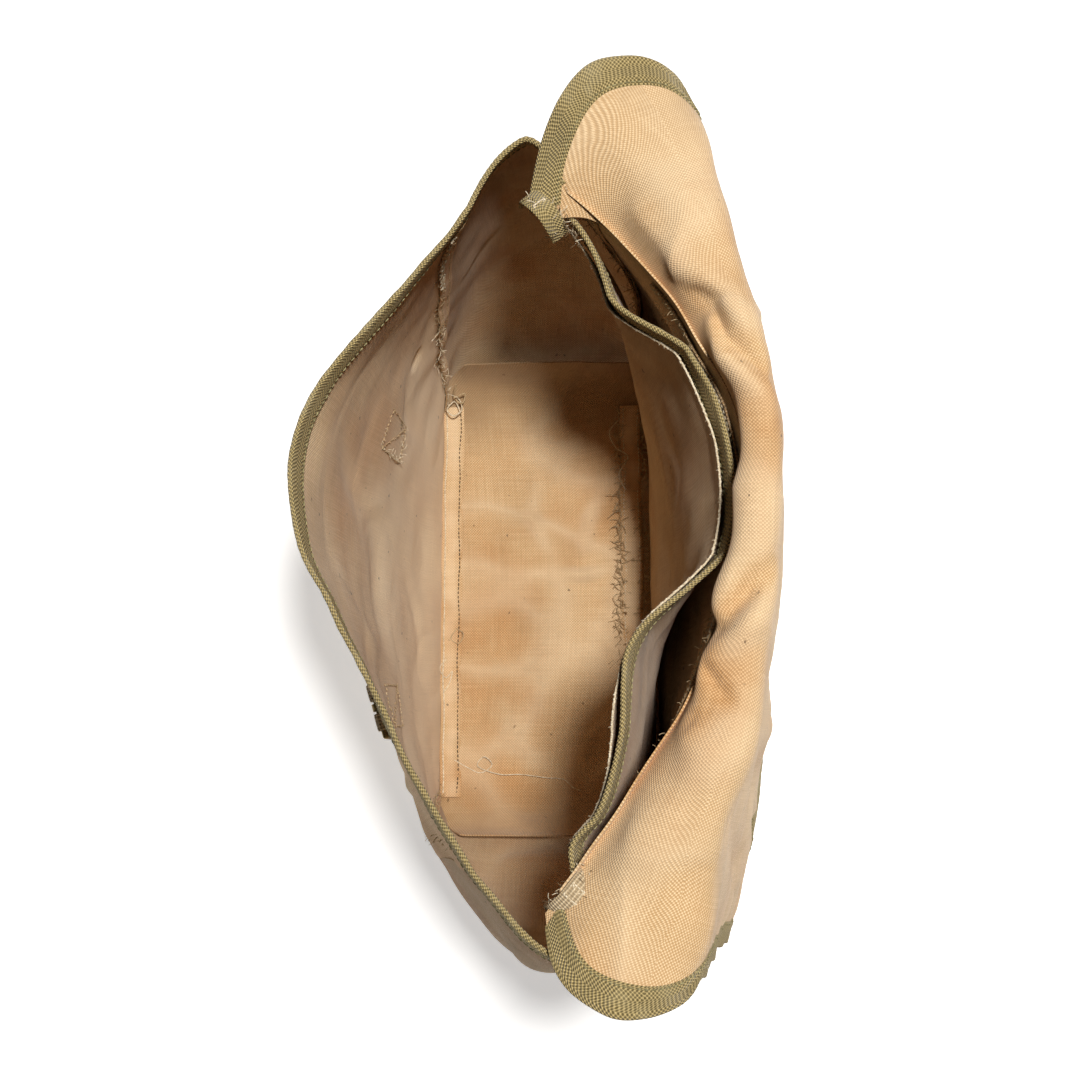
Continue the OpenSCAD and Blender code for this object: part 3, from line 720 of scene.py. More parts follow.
def makeFrayTree():  # short bent fibres that stand out of a raw edge or a worn seam
    tree, given, end, add = newTree("frayRun", [("Pitch", "NodeSocketFloat", 0.0015), ("Length", "NodeSocketFloat", 0.005),
                                                ("Radius", "NodeSocketFloat", 0.0002), ("Spread", "NodeSocketFloat", 1.2),
                                                ("Seed", "NodeSocketInt", 1), ("Finish", "NodeSocketMaterial", None)])
    curve = add("GeometryNodeMeshToCurve", ins={0: given["Geometry"]})
    spaced = add("GeometryNodeResampleCurve", {"mode": "LENGTH"}, {"Curve": curve.outputs[0], "Length": given["Pitch"]})
    hair = add("GeometryNodeCurveQuadraticBezier", ins={"Resolution": 6, "Start": (0, 0, 0), "Middle": (0.30, 0.1, 0.5),
                                                        "End": (-0.1, 0.55, 0.9)})
    turn = add("FunctionNodeRandomValue", {"data_type": "FLOAT_VECTOR"}, {0: (-1, -1, -3.2), 1: (1, 1, 3.2), "Seed": given["Seed"]})
    wide = add("ShaderNodeVectorMath", {"operation": "SCALE"}, {0: turn.outputs[0], "Scale": given["Spread"]})
    length = add("FunctionNodeRandomValue", {"data_type": "FLOAT"}, {2: 0.35, 3: 1.0, "Seed": given["Seed"]})
    size = add("ShaderNodeMath", {"operation": "MULTIPLY"}, {0: length.outputs[1], 1: given["Length"]})
    placed = add("GeometryNodeInstanceOnPoints", ins={"Points": spaced.outputs[0], "Instance": hair.outputs[0],
                                                      "Rotation": wide.outputs[0], "Scale": size.outputs[0]})
    real = add("GeometryNodeRealizeInstances", ins={0: placed.outputs[0]})
    round4 = add("GeometryNodeCurvePrimitiveCircle", ins={"Resolution": 4, "Radius": given["Radius"]})
    tube = add("GeometryNodeCurveToMesh", ins={"Curve": real.outputs[0], "Profile Curve": round4.outputs[0], "Fill Caps": True})
    smooth = add("GeometryNodeSetShadeSmooth", ins={0: tube.outputs[0]})
    finish = add("GeometryNodeSetMaterial", ins={"Geometry": smooth.outputs[0], "Material": given["Finish"]})
    tree.links.new(finish.outputs[0], end.inputs[0])
    return tree


trees = {"stitch": makeStitchTree(), "fray": makeFrayTree()}


def runTree(name, tree, paths, values):  # lays a tree's repeats along paths and bakes them to one plain mesh
    verts = np.concatenate(paths)
    edges, first = [], 0
    for path in paths:
        edges += [(first + i, first + i + 1) for i in range(len(path) - 1)]
        first += len(path)
    mesh = bpy.data.meshes.new(name)
    mesh.from_pydata(verts.tolist(), edges, [])
    made = bpy.data.objects.new(name, mesh)
    bpy.context.collection.objects.link(made)
    modifier = made.modifiers.new("repeats", "NODES")
    modifier.node_group = trees[tree]
    named = {s.name: s.identifier for s in trees[tree].interface.items_tree if s.in_out == "INPUT"}
    for key, value in values.items():
        modifier[named[key]] = value
    bpy.context.view_layer.update()
    baked = bpy.data.meshes.new_from_object(made.evaluated_get(bpy.context.evaluated_depsgraph_get()))
    made.modifiers.remove(modifier)
    made.data = baked
    return made


def sew(name, paths, finish, pitch=3.0, length=2.3, radius=0.36, jitter=0.10, seed=1):
    return runTree(name, "stitch", paths, {"Pitch": pitch * mm, "Length": length * mm, "Radius": radius * mm,
                                           "Jitter": jitter * mm, "Seed": seed, "Finish": finishes[finish]})


def fray(name, paths, finish, pitch=1.5, length=5.0, radius=0.15, spread=1.2, seed=1):
    return runTree(name, "fray", paths, {"Pitch": pitch * mm, "Length": length * mm, "Radius": radius * mm,
                                         "Spread": spread, "Seed": seed, "Finish": finishes[finish]})


def thread(name, points, finish, radius=0.28, count=60):  # one loose end of thread
    path = smoothPath(points, count)
    ahead = unit(np.gradient(path, axis=0))
    side = unit(np.cross(ahead, (0.31, 0.17, 0.93)))
    up = np.cross(side, ahead)
    angles = np.linspace(0, 2 * math.pi, 6, endpoint=False)
    rings = np.stack([path + (side * math.cos(a) + up * math.sin(a)) * radius * mm for a in angles], 1)
    return tubeMesh(name, rings, finishes[finish], None, 80)


def finished(piece, body, slotName, *nodes):  # rides on a body and stands for CAD nodes
    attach(piece, body)
    if nodes:
        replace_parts(piece, *nodes)
    return piece


def flatSize(p):  # the cut size of a grid of cloth
    du, dv = lengthsOf(p)
    return float((du[-1] - du[0]).max()), float(dv[:, -1].max())


def flatArea(p):
    a, b = p[1:, 1:] - p[:-1, :-1], p[1:, :-1] - p[:-1, 1:]
    return float(np.linalg.norm(np.cross(a, b), axis=-1).sum() / 2)


def declareSheet(p):
    size, area = flatSize(p), flatArea(p)


def lifted(p, amount):  # points moved off the middle of the cloth, in millimetres
    return p + normalsOf(p) * amount * mm


# ---------- the bag's panels ----------
panelCut = {"thick": 0.95, "along": 170, "up": 120, "gusset": 70, "base": 180, "crumple": 0.9}
duckThick = panelCut["thick"] * mm


def relief(p, folds, seed, amount=1.0):
    made = creases(p, folds) + crumple(p, 17, seed) * panelCut["crumple"] * amount * mm
    return made * loose(p)


def marksOf(p, ridge, dirt=1.0):
    worn = np.clip(ridge / (1.6 * mm), 0, 1) * 0.5
    # random dirt patches, and darker towards the floor, fading over about 14 mm
    soil = 0.30 * np.exp(-p[..., 2] / (14 * mm)) + 0.22 * np.clip(ripple(p, 24, 9), 0, 1) + 0.1 * np.clip(ripple(p, 90, 4), 0, 1)
    return {"worn": worn, "soil": np.clip(soil * dirt, 0, 0.6)}


def makePanel(name, fn, us, vs, folds, paint, node, uvOffset, seed=1, amount=1.0, keepTop=0.03):
    p = shake(grid(fn, us, vs))
    ridge = relief(p, folds, seed, amount)
    top = np.clip((vs.max() - vs) / keepTop, 0, 1)[None, :]  # no crumples where the tape holds the edge
    foot = np.clip(p[..., 2] / (15 * mm), 0, 1)
    n = normalsOf(p)
    p = p + n * (ridge * top * foot)[..., None]
    marks = marksOf(p, ridge)
    if name == "frontPanel":  # painted light: the inside is made paler low down, where the lamp lights the lower wall, and its dirt-and-shade mark is halved
        marks["worn"] = np.clip(marks["worn"] + 0.9 * ease((0.62 - vs) / 0.3)[None, :], 0, 1)
        marks["soil"] = np.clip(marks["soil"] * 0.5, 0, 1)
    made = clothMesh(name, p, duckThick, paint, uvOffset, marks)
    finished(made, "bag", "canvas", node)
    declareSheet(p)
    return made, p


frontFolds = [([(-60, -100, 225), (-35, -95, 170), (-20, -90, 120)], 9, 2.6), ([(20, -90, 230), (44, -88, 170), (60, -85, 110)], 11, -2.8),
              ([(-120, -60, 170), (-95, -78, 110), (-90, -80, 60)], 8, 2.4), ([(95, -66, 200), (104, -70, 140), (112, -70, 80)], 8, 2.4),
              ([(-10, -80, 70), (15, -80, 45), (45, -78, 32)], 7, 2.0), ([(-42, -88, 122), (0, -90, 126), (42, -88, 122)], 30, 5.0),
              ([(-128, -66, 130), (-112, -76, 126)], 26, 4.0), ([(110, -74, 126), (126, -66, 130)], 26, 4.0),
              ([(-110, -78, 60), (-40, -86, 20), (0, -88, 60)], 5, 1.6), ([(20, -84, 20), (70, -88, 62), (110, -78, 30)], 5, 1.6),
              ([(-78, -85, 150), (-66, -86, 120)], 6, -1.6)]
gussetFolds = [([(-190, -20, 215), (-190, 12, 180), (-188, 30, 140)], 8, 2.6), ([(-188, 10, 120), (-175, -40, 60)], 9, -2.4),
               ([(188, -30, 215), (198, -2, 185), (198, 28, 150)], 8, 3.0), ([(196, 0, 125), (178, 40, 60)], 9, -2.6),
               ([(160, -40, 22), (152, 0, 8), (158, 40, 20)], 7, 1.8), ([(-160, -40, 22), (-152, 0, 8), (-158, 40, 20)], 7, 1.8)]
backFolds = [([(-80, 85, 225), (-62, 84, 170), (-50, 80, 110)], 9, 2.4), ([(40, 88, 215), (55, 82, 150), (70, 76, 80)], 9, 2.2)]
dividerFolds = [([(-95, 60, 250), (-92, 54, 210), (-84, 52, 160)], 6, 1.6), ([(40, 60, 250), (43, 57, 210), (48, 56, 160)], 7, -2.0),
                ([(0, 88, 240), (4, 84, 200), (10, 78, 150)], 8, 1.6), ([(-140, 24, 235), (-120, 40, 150)], 7, 1.6)]
baseFolds = [([(-74, -8, 2), (-52, -12, 2), (-22, 4, 2)], 5, 1.5), ([(-70, 35, 2), (-52, 26, 2), (-30, 22, 2)], 5, 1.8),
             ([(-16, 2, 2), (-14, 22, 2), (-18, 38, 2)], 4, 2.6), ([(20, 30, 2), (34, 44, 2), (52, 42, 2)], 6, 2.0),
             ([(-151, -50, 2), (-149, 0, 2), (-150, 50, 2)], 6, 2.2), ([(143, -50, 2), (146, 0, 2), (144, 50, 2)], 6, 2.2),
             ([(70, -30, 2), (96, -20, 2), (112, 4, 2)], 8, 1.2), ([(-110, -20, 2), (-96, 4, 2), (-100, 30, 2)], 8, 1.4)]

frontPiece, frontPoints = makePanel("frontPanel", frontAt, span(panelCut["along"]), span(panelCut["up"]), frontFolds,
                                    finishes["canvas"], "front_panel", (0.0, 0.0), 1)
backPiece, backPoints = makePanel("backPanel", backAt, span(panelCut["along"], 1, 0), span(panelCut["up"]), backFolds,
                                  finishes["canvas"], "back_panel", (0.1, 0.3), 2)
# the gussets take the "inner" canvas, darkened as painted shade
gussetPoints = {}
for side, label in ((-1, "left"), (1, "right")):
    us = span(panelCut["gusset"], 1, 0) if side < 0 else span(panelCut["gusset"])
    _, gussetPoints[side] = makePanel(label + "Gusset", lambda u, v, s=side: gussetAt(s, u, v), us, span(panelCut["up"]),
                                      gussetFolds, finishes["inner"], label + "_gusset", (0.7, side * 0.2), 3 + side)
# the divider and pocket also take the darkened "inner" canvas: painted shade
dividerPiece, dividerPoints = makePanel("dividerPanel", dividerAt, span(panelCut["along"], 1, 0), span(80), dividerFolds,
                                        finishes["inner"], "divider_panel", (0.2, 0.5), 6, 0.6)
pocketPiece, pocketPoints = makePanel("pocketPanel", pocketAt, span(panelCut["along"], 1, 0), span(70), dividerFolds,
                                      finishes["inner"], "pocket_panel", (0.4, 0.8), 6, 0.6)


def baseAt(u, v):  # a rectangle with round corners, filled line by line
    t, s = 2 * u - 1, 2 * v - 1
    halfX, halfY = bag["baseLength"] / 2, bag["baseDepth"] / 2
    inset = bag["corner"] * (1 - np.sqrt(np.clip(1 - np.clip((np.abs(s) * halfY - halfY + bag["corner"]) / bag["corner"], 0, 1) ** 2, 0, 1)))
    return point(t * (halfX - inset), s * halfY, 0.9 + 0 * t)


basePoints = grid(baseAt, span(panelCut["base"]), span(90))
baseRidge = np.maximum(creases(basePoints, baseFolds), 0) * 1.7 + crumple(basePoints, 20, 11) * 2.0 * mm
baseX = basePoints[..., 0] / mm
sweep = [np.clip((np.sign(s) * baseX - inner) / (149.4 - inner), 0, 1) for s, inner in ((-1, 121), (1, 129))]
baseLift = 26 * (1 - np.sqrt(1 - 0.985 * sweep[0] ** 2)) + 19 * (1 - np.sqrt(1 - 0.985 * sweep[1] ** 2))  # the ends sweep up
baseEdge = np.clip((1 - np.abs(np.linspace(-1, 1, 91))) / 0.06, 0, 1)[None, :]
basePoints[..., 2] += baseRidge * baseEdge + baseLift * mm
baseMarks = marksOf(basePoints + (0, 0, 0.05), baseRidge)
# the whole base is dulled a little; the ramps towards both ends are painted shade where the flap and divider shadow the
# base
baseMarks["soil"] = np.clip(baseMarks["soil"] + 0.10 + 0.52 * ease((-baseX - 88) / 48) + 0.38 * ease((baseX - 108) / 36), 0, 0.75)
basePiece = finished(clothMesh("basePanel", basePoints, duckThick, finishes["canvas"], (0.5, 0.1), baseMarks), "bag", "canvas",
                     "base_panel")
declareSheet(basePoints)
print("panels ready")

# ---------- edge tapes of the bag ----------
share = bag["tape"] / (bag["height"] * 1.04)
rimGrid = shake(grid(rimAt, span(460, 0.04, 2.96), span(6, 1 - share, 1)))
mouthTape = finished(foldedTape("mouthTape", rimGrid), "bag", "tape", "mouth_binding")
dividerRim = shake(grid(dividerAt, span(280, 1, 0), span(6, 1 - bag["tape"] / 259, 1)))
dividerTape = finished(foldedTape("dividerTape", dividerRim), "bag", "tape", "divider_binding")


def strip(name, fn, us, vs, offset, thick, paint, wave=0.25, seed=1):  # a narrow band of cloth laid on a panel
    p = lifted(shake(grid(fn, us, vs)), offset)
    p = p + normalsOf(p) * (ripple(p, 120, seed) * wave * mm)[..., None]
    return clothMesh(name, p, thick * mm, paint, (0.2, 0.1), {"worn": np.clip(ripple(p, 200, 3), 0, 1) * 0.7}), p


stay, stayPoints = strip("backStay", backAt, span(150, 0.13, 0.87), span(14, 0.855, 0.965), 1.3, 0.9, finishes["canvas"], 0.35)
finished(stay, "bag", "canvas", "back_stay")
for label, y, node in (("front", -63, "front_seam_strip"), ("back", 54, "back_seam_strip")):
    low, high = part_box(node)
    xs, ys = np.meshgrid(span(150, low[0] + 0.001, high[0] - 0.001), span(12, low[1], high[1]), indexing="ij")
    crown = np.sin(math.pi * (ys - low[1]) / (high[1] - low[1]))
    zs = low[2] + 0.0006 + 0.0014 * crown ** 0.5
    band = np.stack([xs, ys, zs], -1)
    band[..., 1] += ripple(band[:, :1], 45, 5) * 0.0012
    band[..., 2] += np.maximum(ripple(band, 150, 2), 0) * 0.0009
    made = clothMesh(label + "SeamStrip", band, duckThick, finishes["canvas"], (0.1, 0.2),
                     {"worn": np.clip(crown * 0.5 + ripple(band, 90, 1) * 0.4, 0, 1)})
    finished(made, "bag", "canvas", node)


# ---------- the flap ----------
def flapGrid(us, crestSteps=56, upperSteps=90, lowerSteps=24):  # one cloth from the back panel over the roll to the free edge
    crest = grid(crestAt, us, span(crestSteps))
    upper = grid(upperAt, us, span(upperSteps, 1, 0))[:, 1:]
    lower = grid(lowerAt, us, span(lowerSteps, 1, 0))[:, 1:]
    p = np.concatenate([crest, upper, lower], 1)
    for _ in range(40):  # eases the corners where the stretches meet
        p[:, 1:-1] += 0.5 * ((p[:, :-2] + p[:, 2:]) / 2 - p[:, 1:-1])
    return p, crestSteps, crestSteps + upperSteps


flapFolds = [([(-152, 20, 276), (-142, 32, 281), (-131, 47, 280)], 5.5, -3.6), ([(-140, 46, 283), (-118, 62, 285), (-96, 70, 284)], 9, 1.8),
             ([(-106, 66, 272), (-98, 80, 281), (-80, 87, 284), (-66, 101, 283), (-57, 113, 276)], 5.0, -4.6),
             ([(-88, 78, 283), (-68, 92, 285), (-50, 104, 283)], 7, 3.0), ([(-112, 74, 285), (-92, 92, 284), (-80, 106, 278)], 7, 2.4),
             ([(54, 77, 276), (37, 92, 284), (17, 108, 281)], 5.5, -3.4), ([(64, 80, 284), (46, 96, 285), (28, 110, 280)], 7, 2.6),
             ([(58, 70, 276), (74, 80, 284), (82, 86, 284)], 4.5, -2.4), ([(92, 58, 277), (84, 74, 284)], 5, -2.2),
             ([(158, 22, 277), (166, 28, 281), (172, 30, 283)], 3.5, -2.2), ([(120, 60, 284), (100, 84, 285), (70, 98, 284)], 11, 1.8),
             ([(-30, 96, 284), (0, 104, 285), (24, 100, 284)], 10, 2.0), ([(-170, 40, 285), (-150, 66, 285), (-120, 88, 284)], 12, 1.6),
             ([(170, 60, 282), (120, 92, 260), (60, 118, 230)], 10, -2.6), ([(-150, 92, 262), (-110, 112, 200), (-90, 122, 120)], 12, 2.6),
             ([(-60, 118, 240), (-30, 124, 170), (-20, 126, 90)], 10, -3.0), ([(60, 112, 250), (90, 116, 180), (84, 124, 90)], 11, 3.0),
             ([(140, 92, 240), (160, 98, 160), (150, 108, 80)], 10, -3.0), ([(20, 120, 200), (30, 126, 120), (10, 128, 60)], 9, 2.4)]


def flapForm(us):
    if us[0] > us[-1]:  # the relief is always worked out the same way round
        p, ridge, roll, turnRow = flapForm(us[::-1])
        return p[::-1], ridge[::-1], roll, turnRow
    p, roll, turnRow = flapGrid(us)
    moved = np.array([drift(Vector(q * 15 + 9.0)) * 0.0042 + drift(Vector(q * 42 + 4.0)) * 0.0018
                      for q in p.reshape(-1, 3)]).reshape(p.shape)
    sewn = ease(np.arange(p.shape[1]) / 14)[None, :]  # the seam to the back panel stays where it is sewn
    p = mix(shake(p), p + moved, sewn[..., None])
    ridge = (creases(p, flapFolds) * 1.45 + crumple(p, 15, 21) * 2.0 * mm) * sewn
    return p + normalsOf(p) * ridge[..., None], ridge, roll, turnRow


tapeU = flap["tape"] / (2 * flap["half"])
flapPoints, flapRidge, rollRow, foldRow = flapForm(span(230))
flapNormals = normalsOf(flapPoints)
cutRow = (rollRow + foldRow) // 2 + 14
topRow = int(np.argmax(flapPoints[..., 2].mean(0)))  # the crest stays on the bag up to here
flapMarks = {"worn": np.clip(flapRidge / (2.2 * mm), 0, 1) * 0.5, "soil": 0.16 * np.clip(ripple(flapPoints, 25, 2), 0, 1)}


def onHinge(piece, *nodes, slotName="canvas"):
    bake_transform(piece)
    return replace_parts(piece, *nodes) if nodes else piece


def onFold(piece, *nodes, slotName="canvas"):
    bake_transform(piece)
    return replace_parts(piece, *nodes) if nodes else piece


def cutCloth(name, rows):
    _, dv = lengthsOf(flapPoints)
    made = clothMesh(name, flapPoints[:, rows], duckThick, finishes["canvas"], (0.3, float(dv[0, rows][0])),
                     {k: m[:, rows] for k, m in flapMarks.items()}, flapNormals[:, rows])
    declareSheet(flapPoints[:, rows])
    return made


finished(cutCloth("flapCrest", slice(0, topRow + 1)), "bag", "canvas", "flap_crest")
onHinge(cutCloth("flapUpper", slice(topRow, cutRow + 1)), "flap_upper")
onFold(cutCloth("flapLower", slice(cutRow, None)), "flap_lower")
print("flap ready")

edgeSteps = 8
sideTapes = {}
for label, fromU, toU in (("left", tapeU, 0.0), ("right", 1 - tapeU, 1.0)):
    p = flapForm(span(edgeSteps, fromU, toU))[0].transpose(1, 0, 2)
    sideTapes[label] = p
    finished(foldedTape(label + "EarTape", p[2:topRow + 1]), "bag", "tape", label + "_ear_binding")
    onHinge(foldedTape(label + "FlapTape", p[topRow:cutRow + 1]), label + "_flap_binding", slotName="tape")
    onFold(foldedTape(label + "DropTape", p[cutRow:]), slotName="tape")
edgeGrid = flapForm(span(240, 0.004, 0.996))[0][:, -9:]
onFold(foldedTape("flapEdgeTape", edgeGrid), "flap_edge_binding", slotName="tape")
print("tapes ready")


# ---------- webbing: tabs, straps and patches ----------
def placeOn(fn, side, x, half, z, low, high):  # a point of a panel at a place along it and a height
    vs = np.linspace(0, 1, 400)
    u = 0.5 + side * x / (2 * half)
    column = fn(np.full(400, u), vs) / mm
    v = np.interp(z, column[:, 2], vs)
    q = [fn(np.array(u + du), np.array(v)) / mm for du in (-0.03, 0.03)]
    turn = math.atan2(q[1][1] - q[0][1], q[1][0] - q[0][0])
    return Matrix.Rotation(turn, 3, "Z")


tabLean = {"leftBuckle": 3.4, "rightBuckle": 0.1, "leftRing": 4.7, "rightRing": 9.3}  # degrees, to lie along the cloth
webbing = {"wide": 25, "thick": 1.5, "bar": 2.45, "notch": 6.5, "tab": 42, "ringTab": 24}


def loopedTab(name, joint, out, drop, notch, *nodes):  # webbing folded round a bar and sewn down
    pos = Vector(joints[joint]["pos_m"])
    axis = Vector(joints[joint]["axis"]).normalized()
    sideways = -axis
    away = Vector((0, 0, 1)).cross(sideways) * -1  # away from the bag
    down = out
    back = 2.6
    parts = []
    ends = np.array([(back, drop), (back, drop * 0.6), (back, drop * 0.25), (back, math.copysign(2.5, drop))])
    sign = math.copysign(1, drop)
    arc = [(webbing["bar"] * math.cos(a), -sign * webbing["bar"] * math.sin(a)) for a in np.linspace(0.15, math.pi * 1.25, 14)]
    tail = [(0.6, sign * 5.0), (1.2, sign * 9.0), (1.25, sign * 15.0)]
    tilt = Matrix.Rotation(down, 3, sideways)

    def world(y, z, shift):
        local = Vector(sideways) * shift - away * y + Vector((0, 0, z))
        return pos + tilt @ (local * mm)
    plate = [world(y, z, 0) for y, z in ends]
    plate = smoothPath(np.array(plate) / mm, 24)
    parts.append(ribbon(name + "Plate", plate, sideways, webbing["thick"] * mm, finishes["webbing"],
                        (webbing["wide"] / 2 * mm, 0.35)))
    strips = [(0, webbing["wide"] / 2)] if not notch else [(s * (webbing["wide"] + notch) / 4, (webbing["wide"] - notch) / 4)
                                                           for s in (-1, 1)]
    for k, (shift, half) in enumerate(strips):
        path = smoothPath(np.array([world(y, z, shift) for y, z in [(back, math.copysign(6, drop)), *arc, *tail]]) / mm, 60)
        parts.append(ribbon(f"{name}Loop{k}", path, sideways, webbing["thick"] * mm, finishes["webbing"], (half * mm, 0.35)))
    return joinPieces(name, parts), plate


def joinPieces(name, parts):
    for other in parts:
        other.select_set(True)
    bpy.context.view_layer.objects.active = parts[0]
    with bpy.context.temp_override(active_object=parts[0], selected_editable_objects=parts, selected_objects=parts):
        bpy.ops.object.join()
    parts[0].name = name
    parts[0].data.name = name
    parts[0].select_set(False)
    return parts[0]


for side, label in ((-1, "left"), (1, "right")):
    tab, plate = loopedTab(label + "BuckleTab", label + "_buckle_swing", math.radians(tabLean[label + "Buckle"]), -webbing["tab"], webbing["notch"])
    finished(tab, "bag", "webbing", label + "_buckle_tab")
    tab, plate = loopedTab(label + "RingTab", label + "_ring_swing", math.radians(tabLean[label + "Ring"]), webbing["ringTab"], 0)
    finished(tab, "bag", "webbing", label + "_ring_tab")
corner = {"wide": 10, "thick": 1.7}
cornerPaths = {"left": ([(-158, -2, 254), (-157, -1, 262), (-152, 3, 267), (-146, 8, 268), (-141, 12, 264), (-139, 14, 257)], "tape"),
               "right": ([(153, 28, 254), (154, 26, 263), (158, 22, 268), (164, 17, 268), (169, 12, 265), (171, 10, 256)], "webbing")}
for label, (points, finish) in cornerPaths.items():
    path = smoothPath(points, 40)
    path = path + np.stack([0 * path[:, 0], 0 * path[:, 0], np.sin(np.linspace(0, 14, 40)) * 0.0004], -1)
    made = ribbon(label + "CornerTab", path, (0.64, 0.76, 0) if label == "right" else (-0.62, 0.78, 0), corner["thick"] * mm,
                  finishes[finish], (corner["wide"] / 2 * mm, 0.4))
    finished(made, "bag", finish, label + "_corner_tab")


def flapColumn(x):  # the flap's hanging part at one place along it
    u = int(np.argmin(np.abs(flapPoints[:, foldRow + 8, 0] - x * mm)))
    return flapPoints[u, foldRow:], -flapNormals[u, foldRow:]


strap = {"wide": 25, "thick": 1.5, "holes": (10, 20, 30), "holeRadius": 2.2, "patchTop": 46}
strapPaths = {}
for side, label in ((-1, "left"), (1, "right")):
    pivot = np.array(joints[label + "_strap_swing"]["pos_m"]) / mm
    low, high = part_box(label + "_strap")
    column, inward = flapColumn(pivot[0])
    column = column / mm
    heights = [strap["patchTop"], 36, 26, 18, 12]
    backs = [np.interp(z, column[::-1, 2], column[::-1, 1]) for z in heights]
    gaps = [1.5, 1.5, 1.6, 2.6, 3.0]
    points = [(pivot[0], y - g, z) for y, g, z in zip(backs, gaps, heights)]
    points += [(pivot[0], points[-1][1] - 0.2, 8.8), (pivot[0], points[-1][1] - 2.6, 6.95), (pivot[0], points[-1][1] - 8, 6.9),
               (pivot[0], 100, 6.9), (pivot[0], low[1] / mm + 0.4, 6.9)]
    path = smoothPath(points, 150)
    strapPaths[label] = path
    made = ribbon(label + "StrapWebbing", path, (1, 0, 0), strap["thick"] * mm, finishes["webbing"],
                  (strap["wide"] / 2 * mm, 0.3))
    cutters = []
    for reach in strap["holes"]:
        bpy.ops.mesh.primitive_cylinder_add(vertices=20, radius=strap["holeRadius"] * mm, depth=8 * mm,
                                            location=(pivot[0] * mm, (pivot[1] - reach) * mm, 6.9 * mm))
        cutters.append(bpy.context.object)
    punch = joinPieces("punch", cutters)
    cut = made.modifiers.new("holes", "BOOLEAN")
    cut.object = punch
    bpy.context.view_layer.update()
    baked = bpy.data.meshes.new_from_object(made.evaluated_get(bpy.context.evaluated_depsgraph_get()))
    made.modifiers.remove(cut)
    made.data = baked
    bpy.data.objects.remove(punch)
    label + "_strap"
    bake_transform(made)
    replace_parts(made, label + "_strap", label + "_strap_patch")
print("webbing ready")

for name, node in frame["nodes"].items():
    if any(word in name for word in ("d_ring", "buckle_frame", "buckle_prong", "strap_tip")):
        node.data.materials.clear()
        node.data.materials.append(finishes["brass"])


# ---------- sewing ----------
def rows(p, index, amounts):  # paths along a grid's rows, off both faces of the cloth
    return [lifted(p, amount)[:, index] for amount in amounts]


def addSewing(name, paths, finish, body="bag", slotName="tape", tool=sew, **settings):
    made = tool(name, paths, finish, **settings)
    if callable(body):
        body(made, slotName=slotName)
    else:
        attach(made, body)


addSewing("mouthTapeStitches", rows(rimGrid, 1, (1.15, -1.15)), "oliveThread", pitch=3.1, length=2.4)
addSewing("dividerTapeStitches", rows(dividerRim, 1, (1.15, -1.15)), "oliveThread", pitch=3.1, length=2.4)
for label, p in sideTapes.items():
    addSewing(label + "EarTapeStitches", rows(p[2:topRow + 1], 1, (1.15, -1.15)), "oliveThread")
    addSewing(label + "FlapTapeStitches", rows(p[topRow:cutRow + 1], 1, (1.15, -1.15)), "oliveThread", onHinge)
    addSewing(label + "DropTapeStitches", rows(p[cutRow:], 1, (1.15, -1.15)), "oliveThread", onFold)
addSewing("edgeTapeStitches", rows(edgeGrid, 1, (1.15, -1.15)), "oliveThread", onFold)
stayRows = [lifted(stayPoints, 0.55)[:, k] for k in (2, 4, -4, -2)]
addSewing("stayStitches", stayRows, "paleThread", slotName="canvas", pitch=2.8, length=2.1, radius=0.33)
addSewing("stayFray", [stayPoints[:, 0], stayPoints[:, -1]], "khakiThread", slotName="canvas", tool=fray, pitch=1.3, length=3.6)
addSewing("pocketFray", [pocketPoints[:, -1]], "paleThread", slotName="canvas", tool=fray, pitch=0.8, length=1.5, radius=0.12)
addSewing("pocketHem", [pocketPoints[:, -1]], "paleThread", slotName="canvas", pitch=1.1, length=1.7, radius=0.62, jitter=0.14)


def wallRow(points, column, inset, amount, low=0.0, high=1.0):  # up a panel's side, a little in from its edge
    count = points.shape[1] - 1
    return lifted(points, amount)[column + inset, int(low * count):int(high * count)]


def seamBand(name, fn, us, low, high, seed):  # the turned-in allowance of an upright seam
    made, p = strip(name, fn, us, span(110, low, high), -1.25, 0.8, finishes["canvas"], 0.55, seed)
    finished(made, "bag", "canvas")
    return p


seams = {"frontLeft": (frontAt, span(8, 0.0, 0.030)), "frontRight": (frontAt, span(8, 0.970, 1.0)),
         "backLeft": (backAt, span(8, 0.030, 0.0)), "backRight": (backAt, span(8, 1.0, 0.970))}
seamPoints = {name: seamBand(name + "Seam", fn, us, 0.02, 0.95, k) for k, (name, (fn, us)) in enumerate(seams.items())}
addSewing("seamStitches", [lifted(p, -0.5)[k] for p in seamPoints.values() for k in (2, 6)], "khakiThread", slotName="canvas")
addSewing("seamFray", [p[0 if "Right" in name else -1] for name, p in seamPoints.items()], "khakiThread", slotName="canvas",
          tool=fray, pitch=1.1, length=4.6, seed=4)
addSewing("seamFluff", [seamPoints["frontLeft"][-1][8:60], seamPoints["backLeft"][-1][5:70]], "paleThread", slotName="canvas",
          tool=fray, pitch=1.6, length=9.0, radius=0.2, seed=9)


def zigzag(fn, u0, u1, low, high, count, amount):  # a bar tack's path
    vs = np.linspace(low, high, count)
    us = np.where(np.arange(count) % 2 == 0, u0, u1)
    wide = np.stack([shake(fn(np.array([[u, u + 0.004], [u, u + 0.004]]), np.array([[v, v], [v + 0.004, v + 0.004]])))
                     for u, v in zip(us, vs)])
    n = unit(np.cross(wide[:, 0, 1] - wide[:, 0, 0], wide[:, 1, 0] - wide[:, 0, 0]))
    return wide[:, 0, 0] + n * amount * mm


addSewing("barTacks", [zigzag(frontAt, 0.020, 0.032, 0.70, 0.955, 26, -1.9), zigzag(frontAt, 0.972, 0.984, 0.80, 0.955, 16, -1.9)],
          "paleThread", slotName="canvas", pitch=1.3, length=2.0, radius=0.5, jitter=0.35)


